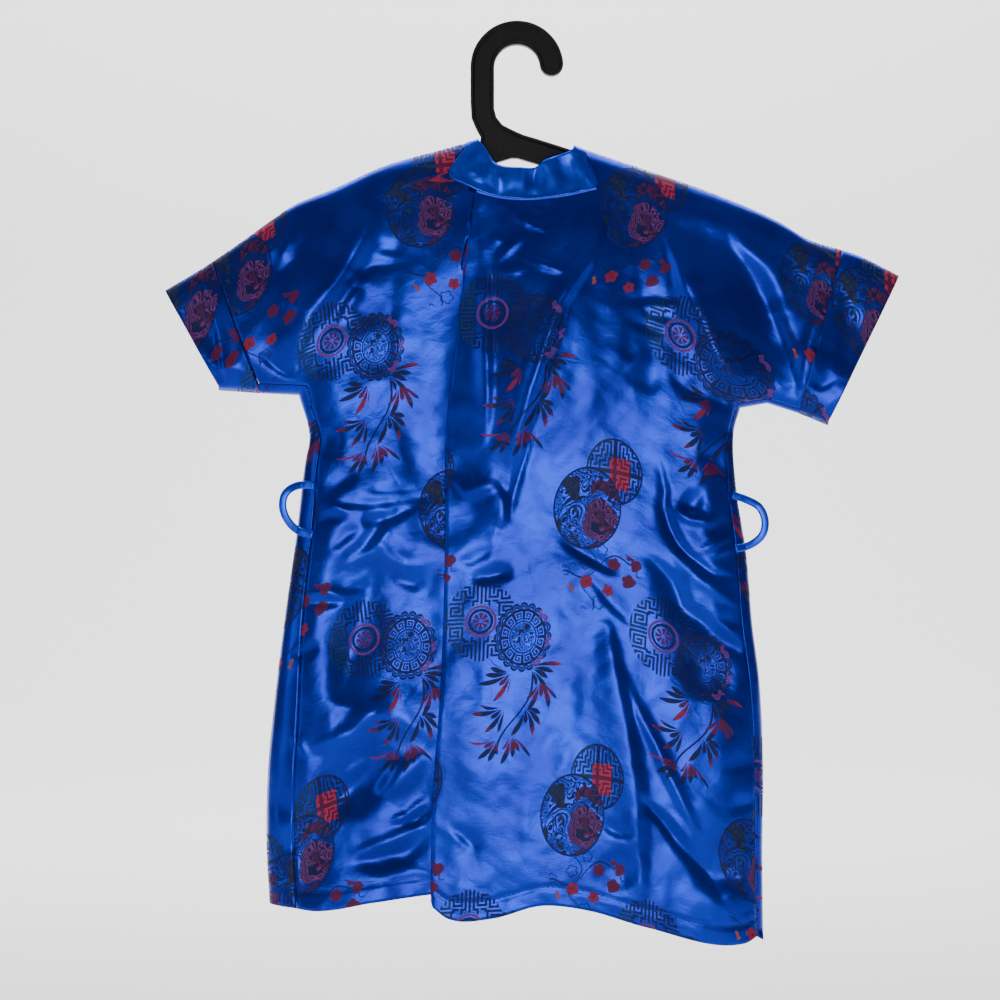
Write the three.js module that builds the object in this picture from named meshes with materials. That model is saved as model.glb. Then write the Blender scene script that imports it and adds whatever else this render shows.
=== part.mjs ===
// A child's short-sleeved kimono robe of satin brocade, hung on a one-piece plastic hanger.
//
// Millimetres, +Z up. The origin is the inside of the top of the hanger's hook, where a rod
// bears. X runs across the garment, and its back faces -Y. Each piece of cloth is a thin wall:
// a surface worked out in rows and columns, given its thickness by `clothWall`.

import * as THREE from 'three';

// ---------------------------------------------------------------- driving dimensions

const CLOTH = 1.2; // the brocade wall
const BAND_CLOTH = 1.6; // the doubled collar band
const SEAM = 0.3; // the gap left between two pieces that are sewn together
const SEAM_SLACK = 0.4; // and what a seam on a curve needs on top of it

const BODY_DEPTH = 11; // half the depth of the flattened body at the chest
const HEM_DEPTH = 15; // and at the hem
const SLEEVE_DEPTH = 8; // half the depth of a sleeve
const TOP_ROUND = 24; // how far below the shoulder ridge the cloth is still turning over
const EDGE_ROUND = 20; // how far in from a side the cloth is still turning round

const FOLD_RADIUS = 1.1; // each turn of the deep fold down the back
const FOLD_TOP = -150; // where the deep fold starts to turn
const FOLD_CLOSED = -205; // where its layers first lie flat on each other
const FOLD_OVERLAP_TOP = 8; // how far the layers overlap there
const FOLD_OVERLAP_HEM = 38; // and at the hem
const FOLD_SINK_START = 45; // how far left of the fold's edge the lower layer starts to sink
const FOLD_SINK_REACH = 40; // and how far it takes to
const HEM_LEVEL = -600; // the mean height of the hem

const COLLAR_WIDTH = 25;
const COLLAR_TOP_WIDTH = 6.5; // of the fronts' band, where it turns over the shoulder
const COLLAR_WIDENS = 45; // and the height over which it widens
const CROSSING = -330; // where the sloping front edges become upright
const LAP = 2.6; // how far the outer front stands off the inner one
const LAP_FROM = -105; // X where the outer front starts to rise over the inner one
const LAP_REACH = 28; // and how far it takes to
const SLEEVE_FROM = 120; // X either side where the body's depth starts to become the sleeve's
const SLEEVE_BLEND = 70; // and how far that takes
const WAIST_LEVEL = -300; // where the body starts to deepen towards the hem
const HANGER_CLEAR = 34; // how far below the ridge the soft folds start, past the hanger
const FOLDS_FADE = 16; // and the way over which they, and those near a side, grow

const HANGER_THICK = 8.4;
const HANGER_SPACE = 7.4; // from the hanger's middle to the collar band's
const HOOK_INSIDE = 16; // radius that the rod bears on
const HOOK_BAR = 16.5; // width of the hook's bar
const HOOK_END = 0.1; // angle where the hook's arc stops, before its round tip
const STEM_FOOT = -51;
const STEM_SPREAD = [[-29, -58], [-25.2, -65]]; // how the stem's outer side runs into the arm
const STEM_TOE = 1.5; // how far its inner side steps in at the foot
const STEM_TOE_RISE = 6; // and over what height
const ARM_STARTS = { right: 6, leftLow: -18, leftTop: -24 }; // from the middle, past the stem
const ARM_ROUND_START = 4; // how far before its tip an arm stops being straight
const TIP_WRAP = 0.3; // the angle that the hook's round tip leaves to its neighbours
const ARM_MIDDLE = -2; // X of the hanger's middle
const ARM_REACH = 160; // half the hanger's width
const ARM_PEAK = -61.4; // height of the arms' top edge at the middle
const ARM_SLOPE = 0.29;
const ARM_BEND = 0.0005;
const ARM_HEIGHT = 17.5;
const ARM_TIP_HEIGHT = 11;

const LOOP_WIDTH = 5.6;
const LOOP_THICK = 1.8;
const LOOP_LIFT = { left: 0.45, right: -0.55 }; // off the cloth under it, for how the side slopes

const COLOURS = {
  brocade: 0x2a52bd,
  brocadeLight: 0x3763cf,
  band: 0x3f78dc,
  plastic: 0x26262b,
};

// ---------------------------------------------------------------- outline tables

// The ridge over the shoulders, from one cuff to the neck and from the neck to the other.
const RIDGE_LEFT = [
  { x: -246, z: -172 },
  { x: -213, z: -152 },
  { x: -171, z: -122.5 },
  { x: -157, z: -112.7 },
  { x: -130, z: -101.5 },
  { x: -92, z: -84.5 },
  { x: -54, z: -74 },
  { x: -33, z: -68 },
];
const RIDGE_RIGHT = [
  { x: 46, z: -73 },
  { x: 86, z: -86.5 },
  { x: 143, z: -106.4 },
  { x: 183, z: -124 },
  { x: 204, z: -136.5 },
  { x: 239, z: -147.7 },
  { x: 267, z: -161.7 },
];

// Under the sleeves and down the sides, from cuff to hem.
const EDGE_LEFT = [
  { x: -208.6, z: -241.5 },
  { x: -180, z: -243.5 },
  { x: -152.6, z: -245 },
  { x: -145, z: -273 },
  { x: -148.5, z: -295 },
  { x: -154, z: -342 },
  { x: -162.4, z: -402 },
  { x: -169.4, z: -459 },
  { x: -174, z: -506 },
  { x: -175, z: -560 },
  { x: -173, z: -598 },
];
const EDGE_RIGHT = [
  { x: 217.7, z: -266 },
  { x: 197, z: -257.5 },
  { x: 175, z: -250.5 },
  { x: 156, z: -254 },
  { x: 151.5, z: -270 },
  { x: 153, z: -309 },
  { x: 160, z: -355 },
  { x: 164.5, z: -406 },
  { x: 169.4, z: -445 },
  { x: 172, z: -507 },
  { x: 171.5, z: -564 },
  { x: 172, z: -619 },
];
const UNDERARM_ROW = { left: 2, right: 3 }; // which row of the tables above is the underarm

// How far in from the side the back's own edge lies, because the fronts wrap round to it.
const WRAP = [
  { z: -620, left: 20, right: 5 },
  { z: -480, left: 19, right: 7 },
  { z: -400, left: 13, right: 8 },
  { z: -310, left: 10, right: 6 },
  { z: -255, left: 7, right: 3 },
  { z: -230, left: 6, right: 3 },
];

// Each sleeve from the armhole to the seam of its end piece to the cuff.
const SLEEVES = {
  left: [
    { at: 0, topX: -150, underX: -152.6 },
    { at: 1, topX: -213, underX: -180 },
    { at: 2, topX: -246, underX: -208.6 },
  ],
  right: [
    { at: 0, topX: 150, underX: 156 },
    { at: 1, topX: 227, underX: 197 },
    { at: 2, topX: 267, underX: 217.7 },
  ],
};

// The hem of the back: left of the deep fold, and right of it.
const HEM_LEFT = [
  { x: -173, z: -598 },
  { x: -141, z: -604 },
  { x: -99, z: -598 },
  { x: -60, z: -593 },
];
const HEM_RIGHT = [
  { x: -60, z: -600 },
  { x: -48, z: -609 },
  { x: -18, z: -609 },
  { x: 17, z: -600 },
  { x: 50, z: -603.5 },
  { x: 88, z: -614.5 },
  { x: 157, z: -627 },
  { x: 172, z: -619 },
];

// The neck hole of the back, below the shoulders.
const NECK = [
  { x: -48, z: -92 },
  { x: -36, z: -99.5 },
  { x: -18, z: -106.5 },
  { x: 3, z: -109.3 },
  { x: 31, z: -107 },
  { x: 56, z: -101 },
];
const NECK_POINTS = { left: -33, right: 46 }; // where the neck hole meets the ridge

// The edge of the deep fold, down the back.
const FOLD_EDGE = [
  { z: -620, x: -60 },
  { z: -528, x: -58.5 },
  { z: -450, x: -53 },
  { z: -360, x: -50 },
  { z: -270, x: -49 },
  { z: -200, x: -41 },
  { z: -105, x: -28 },
];

// The largest soft folds of the back. `out` is towards -Y, and `wide` is across the fold.
const FOLDS = [
  { name: 'left sleeve ridge', x1: -94, z1: -108, x2: -121, z2: -158, out: 5, wide: 9 },
  { name: 'left sleeve ridge', x1: -121, z1: -158, x2: -150, z2: -212, out: 6, wide: 10 },
  { name: 'left sleeve hollow', x1: -120, z1: -125, x2: -168, z2: -205, out: -5, wide: 18 },
  { name: 'right sleeve hollow', x1: 118, z1: -130, x2: 172, z2: -238, out: -6, wide: 18 },
  { name: 'right arm ridge', x1: 101, z1: -122, x2: 148, z2: -238, out: 4, wide: 9 },
  { name: 'neck to waist', x1: 62, z1: -125, x2: 12, z2: -236, out: 4, wide: 12 },
  { name: 'neck to waist', x1: 12, z1: -236, x2: -10, z2: -330, out: 4, wide: 10 },
  { name: 'upright crease', x1: -22, z1: -165, x2: -22, z2: -245, out: 3, wide: 9 },
  { name: 'left waist', x1: -72, z1: -322, x2: -122, z2: -361, out: -4, wide: 10 },
  { name: 'left hip hollow', x1: -90, z1: -365, x2: -95, z2: -455, out: -4, wide: 24 },
  { name: 'left skirt hollow', x1: -70, z1: -545, x2: -150, z2: -500, out: -4, wide: 22 },
  { name: 'right hip', x1: 32, z1: -348, x2: 112, z2: -400, out: 4, wide: 11 },
  { name: 'right skirt', x1: 63, z1: -406, x2: 87, z2: -592, out: 5, wide: 10 },
  { name: 'right skirt', x1: 76, z1: -445, x2: 131, z2: -551, out: 4, wide: 10 },
  { name: 'right skirt hollow', x1: 100, z1: -440, x2: 140, z2: -520, out: -3, wide: 14 },
];

// The collar band round the back of the neck: its seam, and its free upper edge.
const COLLAR_BACK = [
  { seamX: -33, seamZ: -68, seamY: -1.6, freeX: -27.4, freeZ: -66.9, freeY: -1.6 },
  { seamX: -34.5, seamZ: -69.7, seamY: -6.8, freeX: -26.6, freeZ: -68, freeY: -6.6 },
  { seamX: -38, seamZ: -76, seamY: -8.4, freeX: -23, freeZ: -72.5, freeY: -7.6 },
  { seamX: -48, seamZ: -92, seamY: -10.6, freeX: -19, freeZ: -78.5, freeY: -8.2 },
  { seamX: -36, seamZ: -99.5, seamY: -10.8, freeX: -16, freeZ: -83.5, freeY: -8.4 },
  { seamX: -18, seamZ: -106.5, seamY: -10.9, freeX: -10, freeZ: -86.3, freeY: -8.4 },
  { seamX: 3, seamZ: -109.3, seamY: -10.9, freeX: 2, freeZ: -87, freeY: -8.4 },
  { seamX: 17, seamZ: -108.7, seamY: -10.9, freeX: 12, freeZ: -87, freeY: -8.4 },
  { seamX: 31, seamZ: -107, seamY: -10.9, freeX: 19, freeZ: -82, freeY: -8.4 },
  { seamX: 44, seamZ: -104.5, seamY: -10.8, freeX: 27, freeZ: -79, freeY: -8.2 },
  { seamX: 56, seamZ: -101, seamY: -10.6, freeX: 34, freeZ: -76.5, freeY: -8 },
  { seamX: 51, seamZ: -86, seamY: -8.4, freeX: 39, freeZ: -73.5, freeY: -7.6 },
  { seamX: 47, seamZ: -75.8, seamY: -6.8, freeX: 39.4, freeZ: -71.8, freeY: -6.6 },
  { seamX: 46, seamZ: -73.2, seamY: -1.6, freeX: 39.5, freeZ: -71, freeY: -1.6 },
];

// Each belt loop: the middle of its strap, from the upper end to the lower.
const BELT_LOOPS = {
  left: [
    { x: -141, z: -308 },
    { x: -153, z: -308.5 },
    { x: -161, z: -314 },
    { x: -163, z: -323 },
    { x: -160, z: -332 },
    { x: -153, z: -339.5 },
    { x: -142, z: -343 },
  ],
  right: [
    { x: 150, z: -315 },
    { x: 159, z: -318 },
    { x: 168.5, z: -323.5 },
    { x: 172.5, z: -333 },
    { x: 170.5, z: -343 },
    { x: 162, z: -350 },
    { x: 152, z: -352.5 },
  ],
};

// ---------------------------------------------------------------- small maths

const mix = (a, b, t) => a + (b - a) * t;
const clamp = (t) => Math.min(Math.max(t, 0), 1);
const ease = (t) => clamp(t) ** 2 * (3 - 2 * clamp(t));

// How far out a flattened tube stands, as part of its depth, at a distance from its edge.
const rounded = (distance, over) => Math.sqrt(1 - (1 - clamp(distance / over)) ** 4);

// A function that reads a table along straight lines. Its rows rise or fall by `from`.
function reader(rows, from, to) {
  const sorted = [...rows].sort((a, b) => a[from] - b[from]);
  return (at) => {
    const last = sorted.length - 1;
    const next = sorted.findIndex((row) => row[from] > at);
    const high = next < 0 ? last : Math.max(next, 1);
    const a = sorted[high - 1];
    const b = sorted[high];
    return mix(a[to], b[to], (at - a[from]) / (b[from] - a[from]));
  };
}

// The distance from a point to a line of table rows.
function distanceTo(rows, x, z) {
  let best = Infinity;
  for (let i = 1; i < rows.length; i += 1) {
    const a = rows[i - 1];
    const b = rows[i];
    const along = ((x - a.x) * (b.x - a.x) + (z - a.z) * (b.z - a.z))
      / ((b.x - a.x) ** 2 + (b.z - a.z) ** 2);
    const t = clamp(along);
    best = Math.min(best, Math.hypot(x - mix(a.x, b.x, t), z - mix(a.z, b.z, t)));
  }
  return best;
}

// ---------------------------------------------------------------- walls of cloth

// A closed wall on a surface that is given as patches. A patch is a list of rows of points, and
// patches share their edges point for point. The surface faces the side where (row by row,
// then along the row) turns anticlockwise.
function clothWall(patches, thickness) {
  const points = [];
  const numbers = new Map();
  const number = (point) => {
    const key = point.toArray().map((value) => value.toFixed(3)).join();
    if (!numbers.has(key)) {
      numbers.set(key, points.length);
      points.push(point);
    }
    return numbers.get(key);
  };

  const faces = [];
  for (const patch of patches) {
    const ids = patch.map((row) => row.map(number));
    for (let r = 1; r < ids.length; r += 1) {
      for (let c = 1; c < ids[r].length; c += 1) {
        const [a, b, d, e] = [ids[r - 1][c - 1], ids[r - 1][c], ids[r][c - 1], ids[r][c]];
        faces.push([a, d, b], [b, d, e]);
      }
    }
  }
  const sound = faces.filter(([a, b, c]) => a !== b && b !== c && c !== a);

  const normals = points.map(() => new THREE.Vector3());
  for (const face of sound) {
    const [a, b, c] = face.map((id) => points[id]);
    const normal = b.clone().sub(a).cross(c.clone().sub(a)).normalize();
    for (const id of face) normals[id].add(normal);
  }
  const half = thickness / 2;
  const shifted = (side) => points.map((point, id) => (
    point.clone().addScaledVector(normals[id].clone().normalize(), side * half)
  ));
  const position = [...shifted(1), ...shifted(-1)].flatMap((point) => point.toArray());

  const edges = new Set(sound.flatMap(([a, b, c]) => [`${a} ${b}`, `${b} ${c}`, `${c} ${a}`]));
  const inner = points.length;
  const index = [];
  for (const [a, b, c] of sound) index.push(a, b, c, a + inner, c + inner, b + inner);
  for (const edge of edges) {
    const [a, b] = edge.split(' ').map(Number);
    if (edges.has(`${b} ${a}`)) continue;
    index.push(a + inner, b + inner, b, a + inner, b, a);
  }

  const geometry = new THREE.BufferGeometry();
  geometry.setAttribute('position', new THREE.Float32BufferAttribute(position, 3));
  geometry.setIndex(index);
  geometry.computeVertexNormals();
  return geometry;
}

// ---------------------------------------------------------------- the flattened garment

const ridgeLeft = reader(RIDGE_LEFT, 'x', 'z');
const ridgeRight = reader(RIDGE_RIGHT, 'x', 'z');
const ridge = (x) => (x < (NECK_POINTS.left + NECK_POINTS.right) / 2 ? ridgeLeft(x) : ridgeRight(x));

// One side of the garment: its outline, its sleeve, and how its back edge is wrapped.
function makeSide(name, sign, outline) {
  const underarm = UNDERARM_ROW[name];
  const under = reader(outline.slice(0, underarm + 1), 'x', 'z');
  const side = reader(outline.slice(underarm), 'z', 'x');
  const wrap = reader(WRAP, 'z', name);
  const topX = reader(SLEEVES[name], 'at', 'topX');
  const underX = reader(SLEEVES[name], 'at', 'underX');
  return { name, sign, outline, corner: outline[underarm], under, side, wrap, topX, underX };
}

const LEFT = makeSide('left', -1, EDGE_LEFT);
const RIGHT = makeSide('right', 1, EDGE_RIGHT);

// Half the depth of the garment at a place in its outline, seen from the back.
function depthAt(x, z) {
  const side = x < 0 ? LEFT : RIGHT;
  const lower = clamp((z - WAIST_LEVEL) / (HEM_LEVEL - WAIST_LEVEL));
  const body = mix(BODY_DEPTH, HEM_DEPTH, lower);
  const deep = mix(body, SLEEVE_DEPTH, ease((Math.abs(x) - SLEEVE_FROM) / SLEEVE_BLEND));
  const top = rounded(ridge(x) - z, TOP_ROUND);
  return deep * top * rounded(distanceTo(side.outline, x, z), EDGE_ROUND);
}

// How far the soft folds push the back out at a place, and nothing where the hanger lies.
function foldsAt(x, z) {
  let out = 0;
  for (const fold of FOLDS) {
    const length2 = (fold.x2 - fold.x1) ** 2 + (fold.z2 - fold.z1) ** 2;
    const along = ((x - fold.x1) * (fold.x2 - fold.x1) + (z - fold.z1) * (fold.z2 - fold.z1))
      / length2;
    const t = clamp(along);
    const off = Math.hypot(x - mix(fold.x1, fold.x2, t), z - mix(fold.z1, fold.z2, t));
    out += fold.out * Math.exp(-((off / fold.wide) ** 2));
  }
  const edge = distanceTo((x < 0 ? LEFT : RIGHT).outline, x, z);
  return out * ease((ridge(x) - z - HANGER_CLEAR) / FOLDS_FADE) * ease(edge / FOLDS_FADE);
}

const backY = (x, z) => -depthAt(x, z) - foldsAt(x, z);
const frontY = (x, z) => depthAt(x, z);

// Rows near a rounded edge: how far from the edge each one lies.
const TURN_ROWS = [0, 0.7, 2.8, 8, 24];
const LOW_ROWS = [0.22, 0.42, 0.62, 0.8, 0.92, 1]; // rows from there to the underarm
const SKIRT_ROWS = 18; // and from the underarm to the hem

// A point of a sleeve's surface: `at` runs from the armhole (0) to the cuff (2), and `part`
// from the ridge (0) to the lower edge (1), which lies `inset` in from the outline.
function sleevePoint(side, at, part, inset, layer) {
  const topX = side.topX(at);
  const underX = side.underX(at);
  const reach = clamp(at / 0.5);
  const cornerX = underX - side.sign * inset * (1 - reach);
  const x = mix(topX, cornerX, part);
  const z = mix(ridge(topX), side.under(underX) + inset, part);
  return surfacePoint(x, z, layer);
}

// The point of one layer over a place in the outline. The ridge itself keeps a seam's gap.
function surfacePoint(x, z, layer) {
  const y = layer === 'back' ? backY(x, z) : frontY(x, z);
  const gap = SEAM / 2 + 0.2;
  return new THREE.Vector3(x, layer === 'back' ? Math.min(y, -gap) : Math.max(y, gap), z);
}

// The parts, from ridge to lower edge, of a column this long.
function rowParts(length) {
  const turned = TURN_ROWS.map((drop) => drop / length);
  const start = turned[turned.length - 1];
  return [...turned, ...LOW_ROWS.map((part) => mix(start, 1, part))];
}

function sleeveColumn(side, at, inset, layer) {
  const topX = side.topX(at);
  const underX = side.underX(at);
  const length = Math.hypot(topX - underX, ridge(topX) - side.under(underX));
  return rowParts(length).map((part) => sleevePoint(side, at, part, inset, layer));
}

// A patch from its columns: its rows run the other way round.
const fromColumns = (columns) => columns[0].map((_, row) => columns.map((column) => column[row]));

// ---------------------------------------------------------------- the back

const foldEdge = reader(FOLD_EDGE, 'z', 'x');
const neckZ = reader(NECK, 'x', 'z');
const hemLeft = reader(HEM_LEFT, 'x', 'z');
const hemRight = reader(HEM_RIGHT, 'x', 'z');

// The deep fold's cross-section at one height: two opposite turns with a straight between them.
function foldSection(z) {
  const closing = clamp((FOLD_TOP - z) / (FOLD_TOP - FOLD_CLOSED));
  const turn = mix(0.26, Math.PI, ease(closing));
  const lapped = clamp((FOLD_CLOSED - z) / (FOLD_CLOSED - HEM_LEVEL));
  const overlap = closing < 1 ? 0 : mix(FOLD_OVERLAP_TOP, FOLD_OVERLAP_HEM, lapped);
  const early = FOLD_OVERLAP_TOP * ease((closing - 0.8) / 0.2);
  const straight = closing < 1 ? 2 * FOLD_RADIUS / Math.tan(turn / 2) + early : overlap;
  const right = foldEdge(z) + FOLD_RADIUS;
  const left = right - 2 * FOLD_RADIUS * Math.sin(turn) - straight * Math.cos(turn);
  return { turn, left, right };
}

// Where a column of the back lies at one height, and how far behind the top layer it is.
function foldPlace(column, z, limits) {
  const { turn, left, right } = foldSection(z);
  const angle = turn * column.part;
  const r = FOLD_RADIUS;
  if (column.zone === 'first turn') {
    return { x: left + r * Math.sin(angle), behind: 3 * r + r * Math.cos(angle) };
  }
  if (column.zone === 'second turn') {
    return { x: right - r * Math.sin(angle), behind: r - r * Math.cos(angle) };
  }
  if (column.zone === 'left') {
    const x = mix(limits.left, left, column.part);
    const flat = foldEdge(z) - FOLD_SINK_START;
    return { x, behind: 4 * r * ease((x - flat) / FOLD_SINK_REACH) };
  }
  return { x: mix(right, limits.right, column.part), behind: 0 };
}

// A side's limit at one height: the armhole line above the underarm, and the seam below it.
function sideLimit(side, z, inset) {
  const armX = side.topX(0);
  const cornerX = side.corner.x - side.sign * inset(side.corner.z);
  const cornerZ = side.corner.z + inset(side.corner.z);
  if (z >= cornerZ) {
    return mix(armX, cornerX, (ridge(armX) - z) / (ridge(armX) - cornerZ));
  }
  const seam = (height) => side.side(height) - side.sign * inset(height);
  return seam(z) + (cornerX - seam(cornerZ)) * clamp(1 - (cornerZ - z) / 15);
}

const evenly = (from, to, count, zone) => Array.from({ length: count }, (_, i) => (
  { zone, part: mix(from, to, i / count) }
));

const LEFT_NECK_PART = 0.944; // the columns that end at the two corners of the neck hole
const RIGHT_NECK_PART = 0.469;

const BACK_COLUMNS = [
  ...evenly(0, LEFT_NECK_PART, 8, 'left'),
  { zone: 'left', part: LEFT_NECK_PART },
  { zone: 'first turn', part: 0 },
  { zone: 'first turn', part: 0.35 },
  { zone: 'first turn', part: 0.7 },
  { zone: 'first turn', part: 1 },
  { zone: 'second turn', part: 1 },
  { zone: 'second turn', part: 0.7 },
  { zone: 'second turn', part: 0.35 },
  ...evenly(0, RIGHT_NECK_PART, 8, 'right'),
  ...evenly(RIGHT_NECK_PART, 1, 8, 'right'),
  { zone: 'right', part: 1 },
];

function backColumn(column) {
  const limits = (z) => ({
    left: sideLimit(LEFT, z, LEFT.wrap),
    right: sideLimit(RIGHT, z, RIGHT.wrap),
  });
  const place = (z) => foldPlace(column, z, limits(z));
  const point = (z) => {
    const { x, behind } = place(z);
    return new THREE.Vector3(x, backY(x, z) + behind, z);
  };
  const rows = [];

  // Over the shoulder, where the column is not under the neck hole.
  const last = TURN_ROWS[TURN_ROWS.length - 1];
  const nearNeck = column.zone === 'left' ? column.part / LEFT_NECK_PART
    : (1 - column.part) / (1 - RIGHT_NECK_PART);
  const shoulder = column.zone === 'left' || column.zone === 'right' ? nearNeck <= 1.0001 : false;
  const side = column.zone === 'left' ? LEFT : RIGHT;
  const neckCorner = column.zone === 'left' ? NECK[0] : NECK[NECK.length - 1];
  const neckTop = NECK_POINTS[side.name];
  let firstZ = 0;
  for (const drop of TURN_ROWS) {
    if (shoulder) {
      const neckX = mix(neckTop, neckCorner.x, drop / last);
      const armX = sideLimit(side, ridge(side.topX(0)) - drop, side.wrap);
      const x = mix(armX, neckX, nearNeck);
      const fall = mix(1, (ridge(neckCorner.x) - neckCorner.z) / last, nearNeck);
      const z = ridge(x) - drop * fall;
      rows.push(surfacePoint(x, z, 'back'));
      firstZ = z;
    } else {
      firstZ = neckZ(place(neckCorner.z).x);
      rows.push(null);
    }
  }
  if (!shoulder) rows[rows.length - 1] = point(firstZ);

  // Down to the underarm row, and on to the hem.
  const across = clamp((place(LEFT.corner.z).x - limits(LEFT.corner.z).left)
    / (limits(LEFT.corner.z).right - limits(LEFT.corner.z).left));
  const under = mix(
    LEFT.corner.z + LEFT.wrap(LEFT.corner.z),
    RIGHT.corner.z + RIGHT.wrap(RIGHT.corner.z),
    across,
  );
  for (const part of LOW_ROWS) rows.push(point(mix(firstZ, under, part)));
  const hemX = place(HEM_LEVEL).x;
  const tucked = column.zone === 'second turn' ? 1 - column.part / 2 : 0;
  const folded = mix(hemLeft(foldEdge(HEM_LEVEL)), hemRight(foldEdge(HEM_LEVEL)), tucked);
  const hem = { left: hemLeft(Math.min(hemX, foldEdge(HEM_LEVEL))), right: hemRight(hemX) };
  const low = hem[column.zone] ?? folded;
  for (let row = 1; row <= SKIRT_ROWS; row += 1) {
    rows.push(point(mix(under, low, row / SKIRT_ROWS)));
  }
  return rows;
}

function makeBack() {
  const columns = BACK_COLUMNS.map(backColumn);
  const arm = TURN_ROWS.length + LOW_ROWS.length;
  for (const [column, side] of [[columns[0], LEFT], [columns[columns.length - 1], RIGHT]]) {
    const inset = side.wrap(side.corner.z);
    sleeveColumn(side, 0, inset, 'back').forEach((point, row) => { column[row] = point; });
  }
  const turns = TURN_ROWS.length - 1;
  const isShoulder = columns.map((column) => column[0] !== null);
  const leftShoulder = columns.slice(0, isShoulder.indexOf(false));
  const rightShoulder = columns.slice(isShoulder.lastIndexOf(false) + 1);
  const patches = [
    fromColumns(columns.map((column) => column.slice(turns))),
    fromColumns(leftShoulder.map((column) => column.slice(0, turns + 1))),
    fromColumns(rightShoulder.map((column) => column.slice(0, turns + 1))),
  ];
  for (const side of [LEFT, RIGHT]) {
    const stations = [0, 0.25, 0.5, 0.75, 1];
    const sleeve = stations.map((at) => (
      sleeveColumn(side, at, side.wrap(side.corner.z), 'back').slice(0, arm)
    ));
    if (side.sign < 0) sleeve.reverse();
    patches.push(fromColumns(sleeve));
  }
  return clothWall(patches, CLOTH);
}

// ---------------------------------------------------------------- the fronts

const FRONT_COLUMNS = 9;
const FRONT_INSET = 10; // how far in from the side the flat of a front starts
const TURN_PARTS = [0.6, 0.9, 1]; // from there out to the very edge
const STRIP_MIDDLE = 0.55; // and from the very edge in to the back's seam
const ARMHOLE_SEAM = 0.038; // how far along the sleeve its own front panel starts
const FRONT_EDGES = {
  left: { neckX: -33, neckZ: -68, lowX: 50 },
  right: { neckX: 46, neckZ: -73, lowX: -45 },
};

const hemAt = (side, x) => (side.sign < 0 ? hemLeft(x) : hemRight(x));

// The seam of the collar band on a front: sloping to the crossing, then upright.
function frontEdgeX(name, z) {
  const edge = FRONT_EDGES[name];
  return mix(edge.neckX, edge.lowX, clamp((edge.neckZ - z) / (edge.neckZ - CROSSING)));
}

// The outer front stands off the inner one wherever they cross.
function frontLap(name, x, z) {
  if (name === 'right') return 0;
  return LAP * ease((x - LAP_FROM) / LAP_REACH) * ease((ridge(x) - z - 5) / 20);
}

function frontPoint(name, x, z) {
  const point = surfacePoint(x, z, 'front');
  point.y += frontLap(name, x, z);
  return point;
}

function makeFront(side) {
  const inset = () => FRONT_INSET;
  const edge = FRONT_EDGES[side.name];
  const arm = sleeveColumn(side, 0, FRONT_INSET, 'front');
  const columns = Array.from({ length: FRONT_COLUMNS + 1 }, (_, number) => {
    const part = number / FRONT_COLUMNS;
    const rows = [];
    let last = 0;
    for (const drop of TURN_ROWS) {
      const x = mix(side.topX(0), frontEdgeX(side.name, edge.neckZ - drop), part);
      last = mix(ridge(side.topX(0)), edge.neckZ, part);
      const bow = ridge(mix(side.topX(0), edge.neckX, part)) - last;
      last += bow - drop;
      rows.push(frontPoint(side.name, x, last));
    }
    const under = side.corner.z + FRONT_INSET;
    for (const low of LOW_ROWS) {
      const z = mix(last, under, low);
      const x = mix(sideLimit(side, z, inset), frontEdgeX(side.name, z), part);
      rows.push(frontPoint(side.name, x, z));
    }
    const hemX = mix(sideLimit(side, HEM_LEVEL, inset), edge.lowX, part);
    const hem = mix(hemAt(side, hemX), HEM_LEVEL, part);
    for (let row = 1; row <= SKIRT_ROWS; row += 1) {
      const z = mix(under, hem, row / SKIRT_ROWS);
      const x = mix(sideLimit(side, z, inset), frontEdgeX(side.name, z), part);
      rows.push(frontPoint(side.name, x, z));
    }
    return rows;
  });
  arm.forEach((point, row) => { columns[0][row] = point; });
  return clothWall([
    facing(side, fromColumns(columns)),
    facing(side, fromColumns(sideStrip(side, columns[0], arm.length - 1))),
  ], CLOTH);
}

// The sleeve of a front, from its end piece's seam to the armhole.
function makeFrontSleeve(side) {
  const stations = [1, 0.75, 0.5, 0.25, ARMHOLE_SEAM];
  const sleeve = stations.map((at) => sleeveColumn(side, at, FRONT_INSET, 'front'));
  const strip = stations.map((at) => sleeveStrip(side, at));
  return clothWall([
    facing(side, fromColumns(sleeve)),
    facing(side, fromColumns(strip)),
  ], CLOTH);
}

// A front seen from behind runs the other way, so its rows are turned to face +Y.
const facing = (side, patch) => (side.sign < 0 ? patch.map((row) => [...row].reverse()) : patch);

// One crossing of the strip of a front that turns round the garment's edge to the back's seam.
function crossStrip(inner, outer, seam) {
  const points = [inner];
  for (const part of TURN_PARTS) {
    const x = mix(inner.x, outer.x, part);
    const z = mix(inner.z, outer.z, part);
    points.push(new THREE.Vector3(x, frontY(x, z), z));
  }
  const width = Math.hypot(seam.x - outer.x, seam.z - outer.z);
  for (const part of [1 / width, STRIP_MIDDLE, 1 - (SEAM + SEAM_SLACK) / width]) {
    const x = mix(outer.x, seam.x, part);
    const z = mix(outer.z, seam.z, part);
    points.push(new THREE.Vector3(x, backY(x, z), z));
  }
  return points;
}

// The strip under a sleeve, at one station of it.
function sleeveStrip(side, at) {
  return crossStrip(
    sleevePoint(side, at, 1, FRONT_INSET, 'front'),
    { x: side.underX(at), z: side.under(side.underX(at)) },
    sleevePoint(side, at, 1, side.wrap(side.corner.z), 'back'),
  );
}

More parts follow.
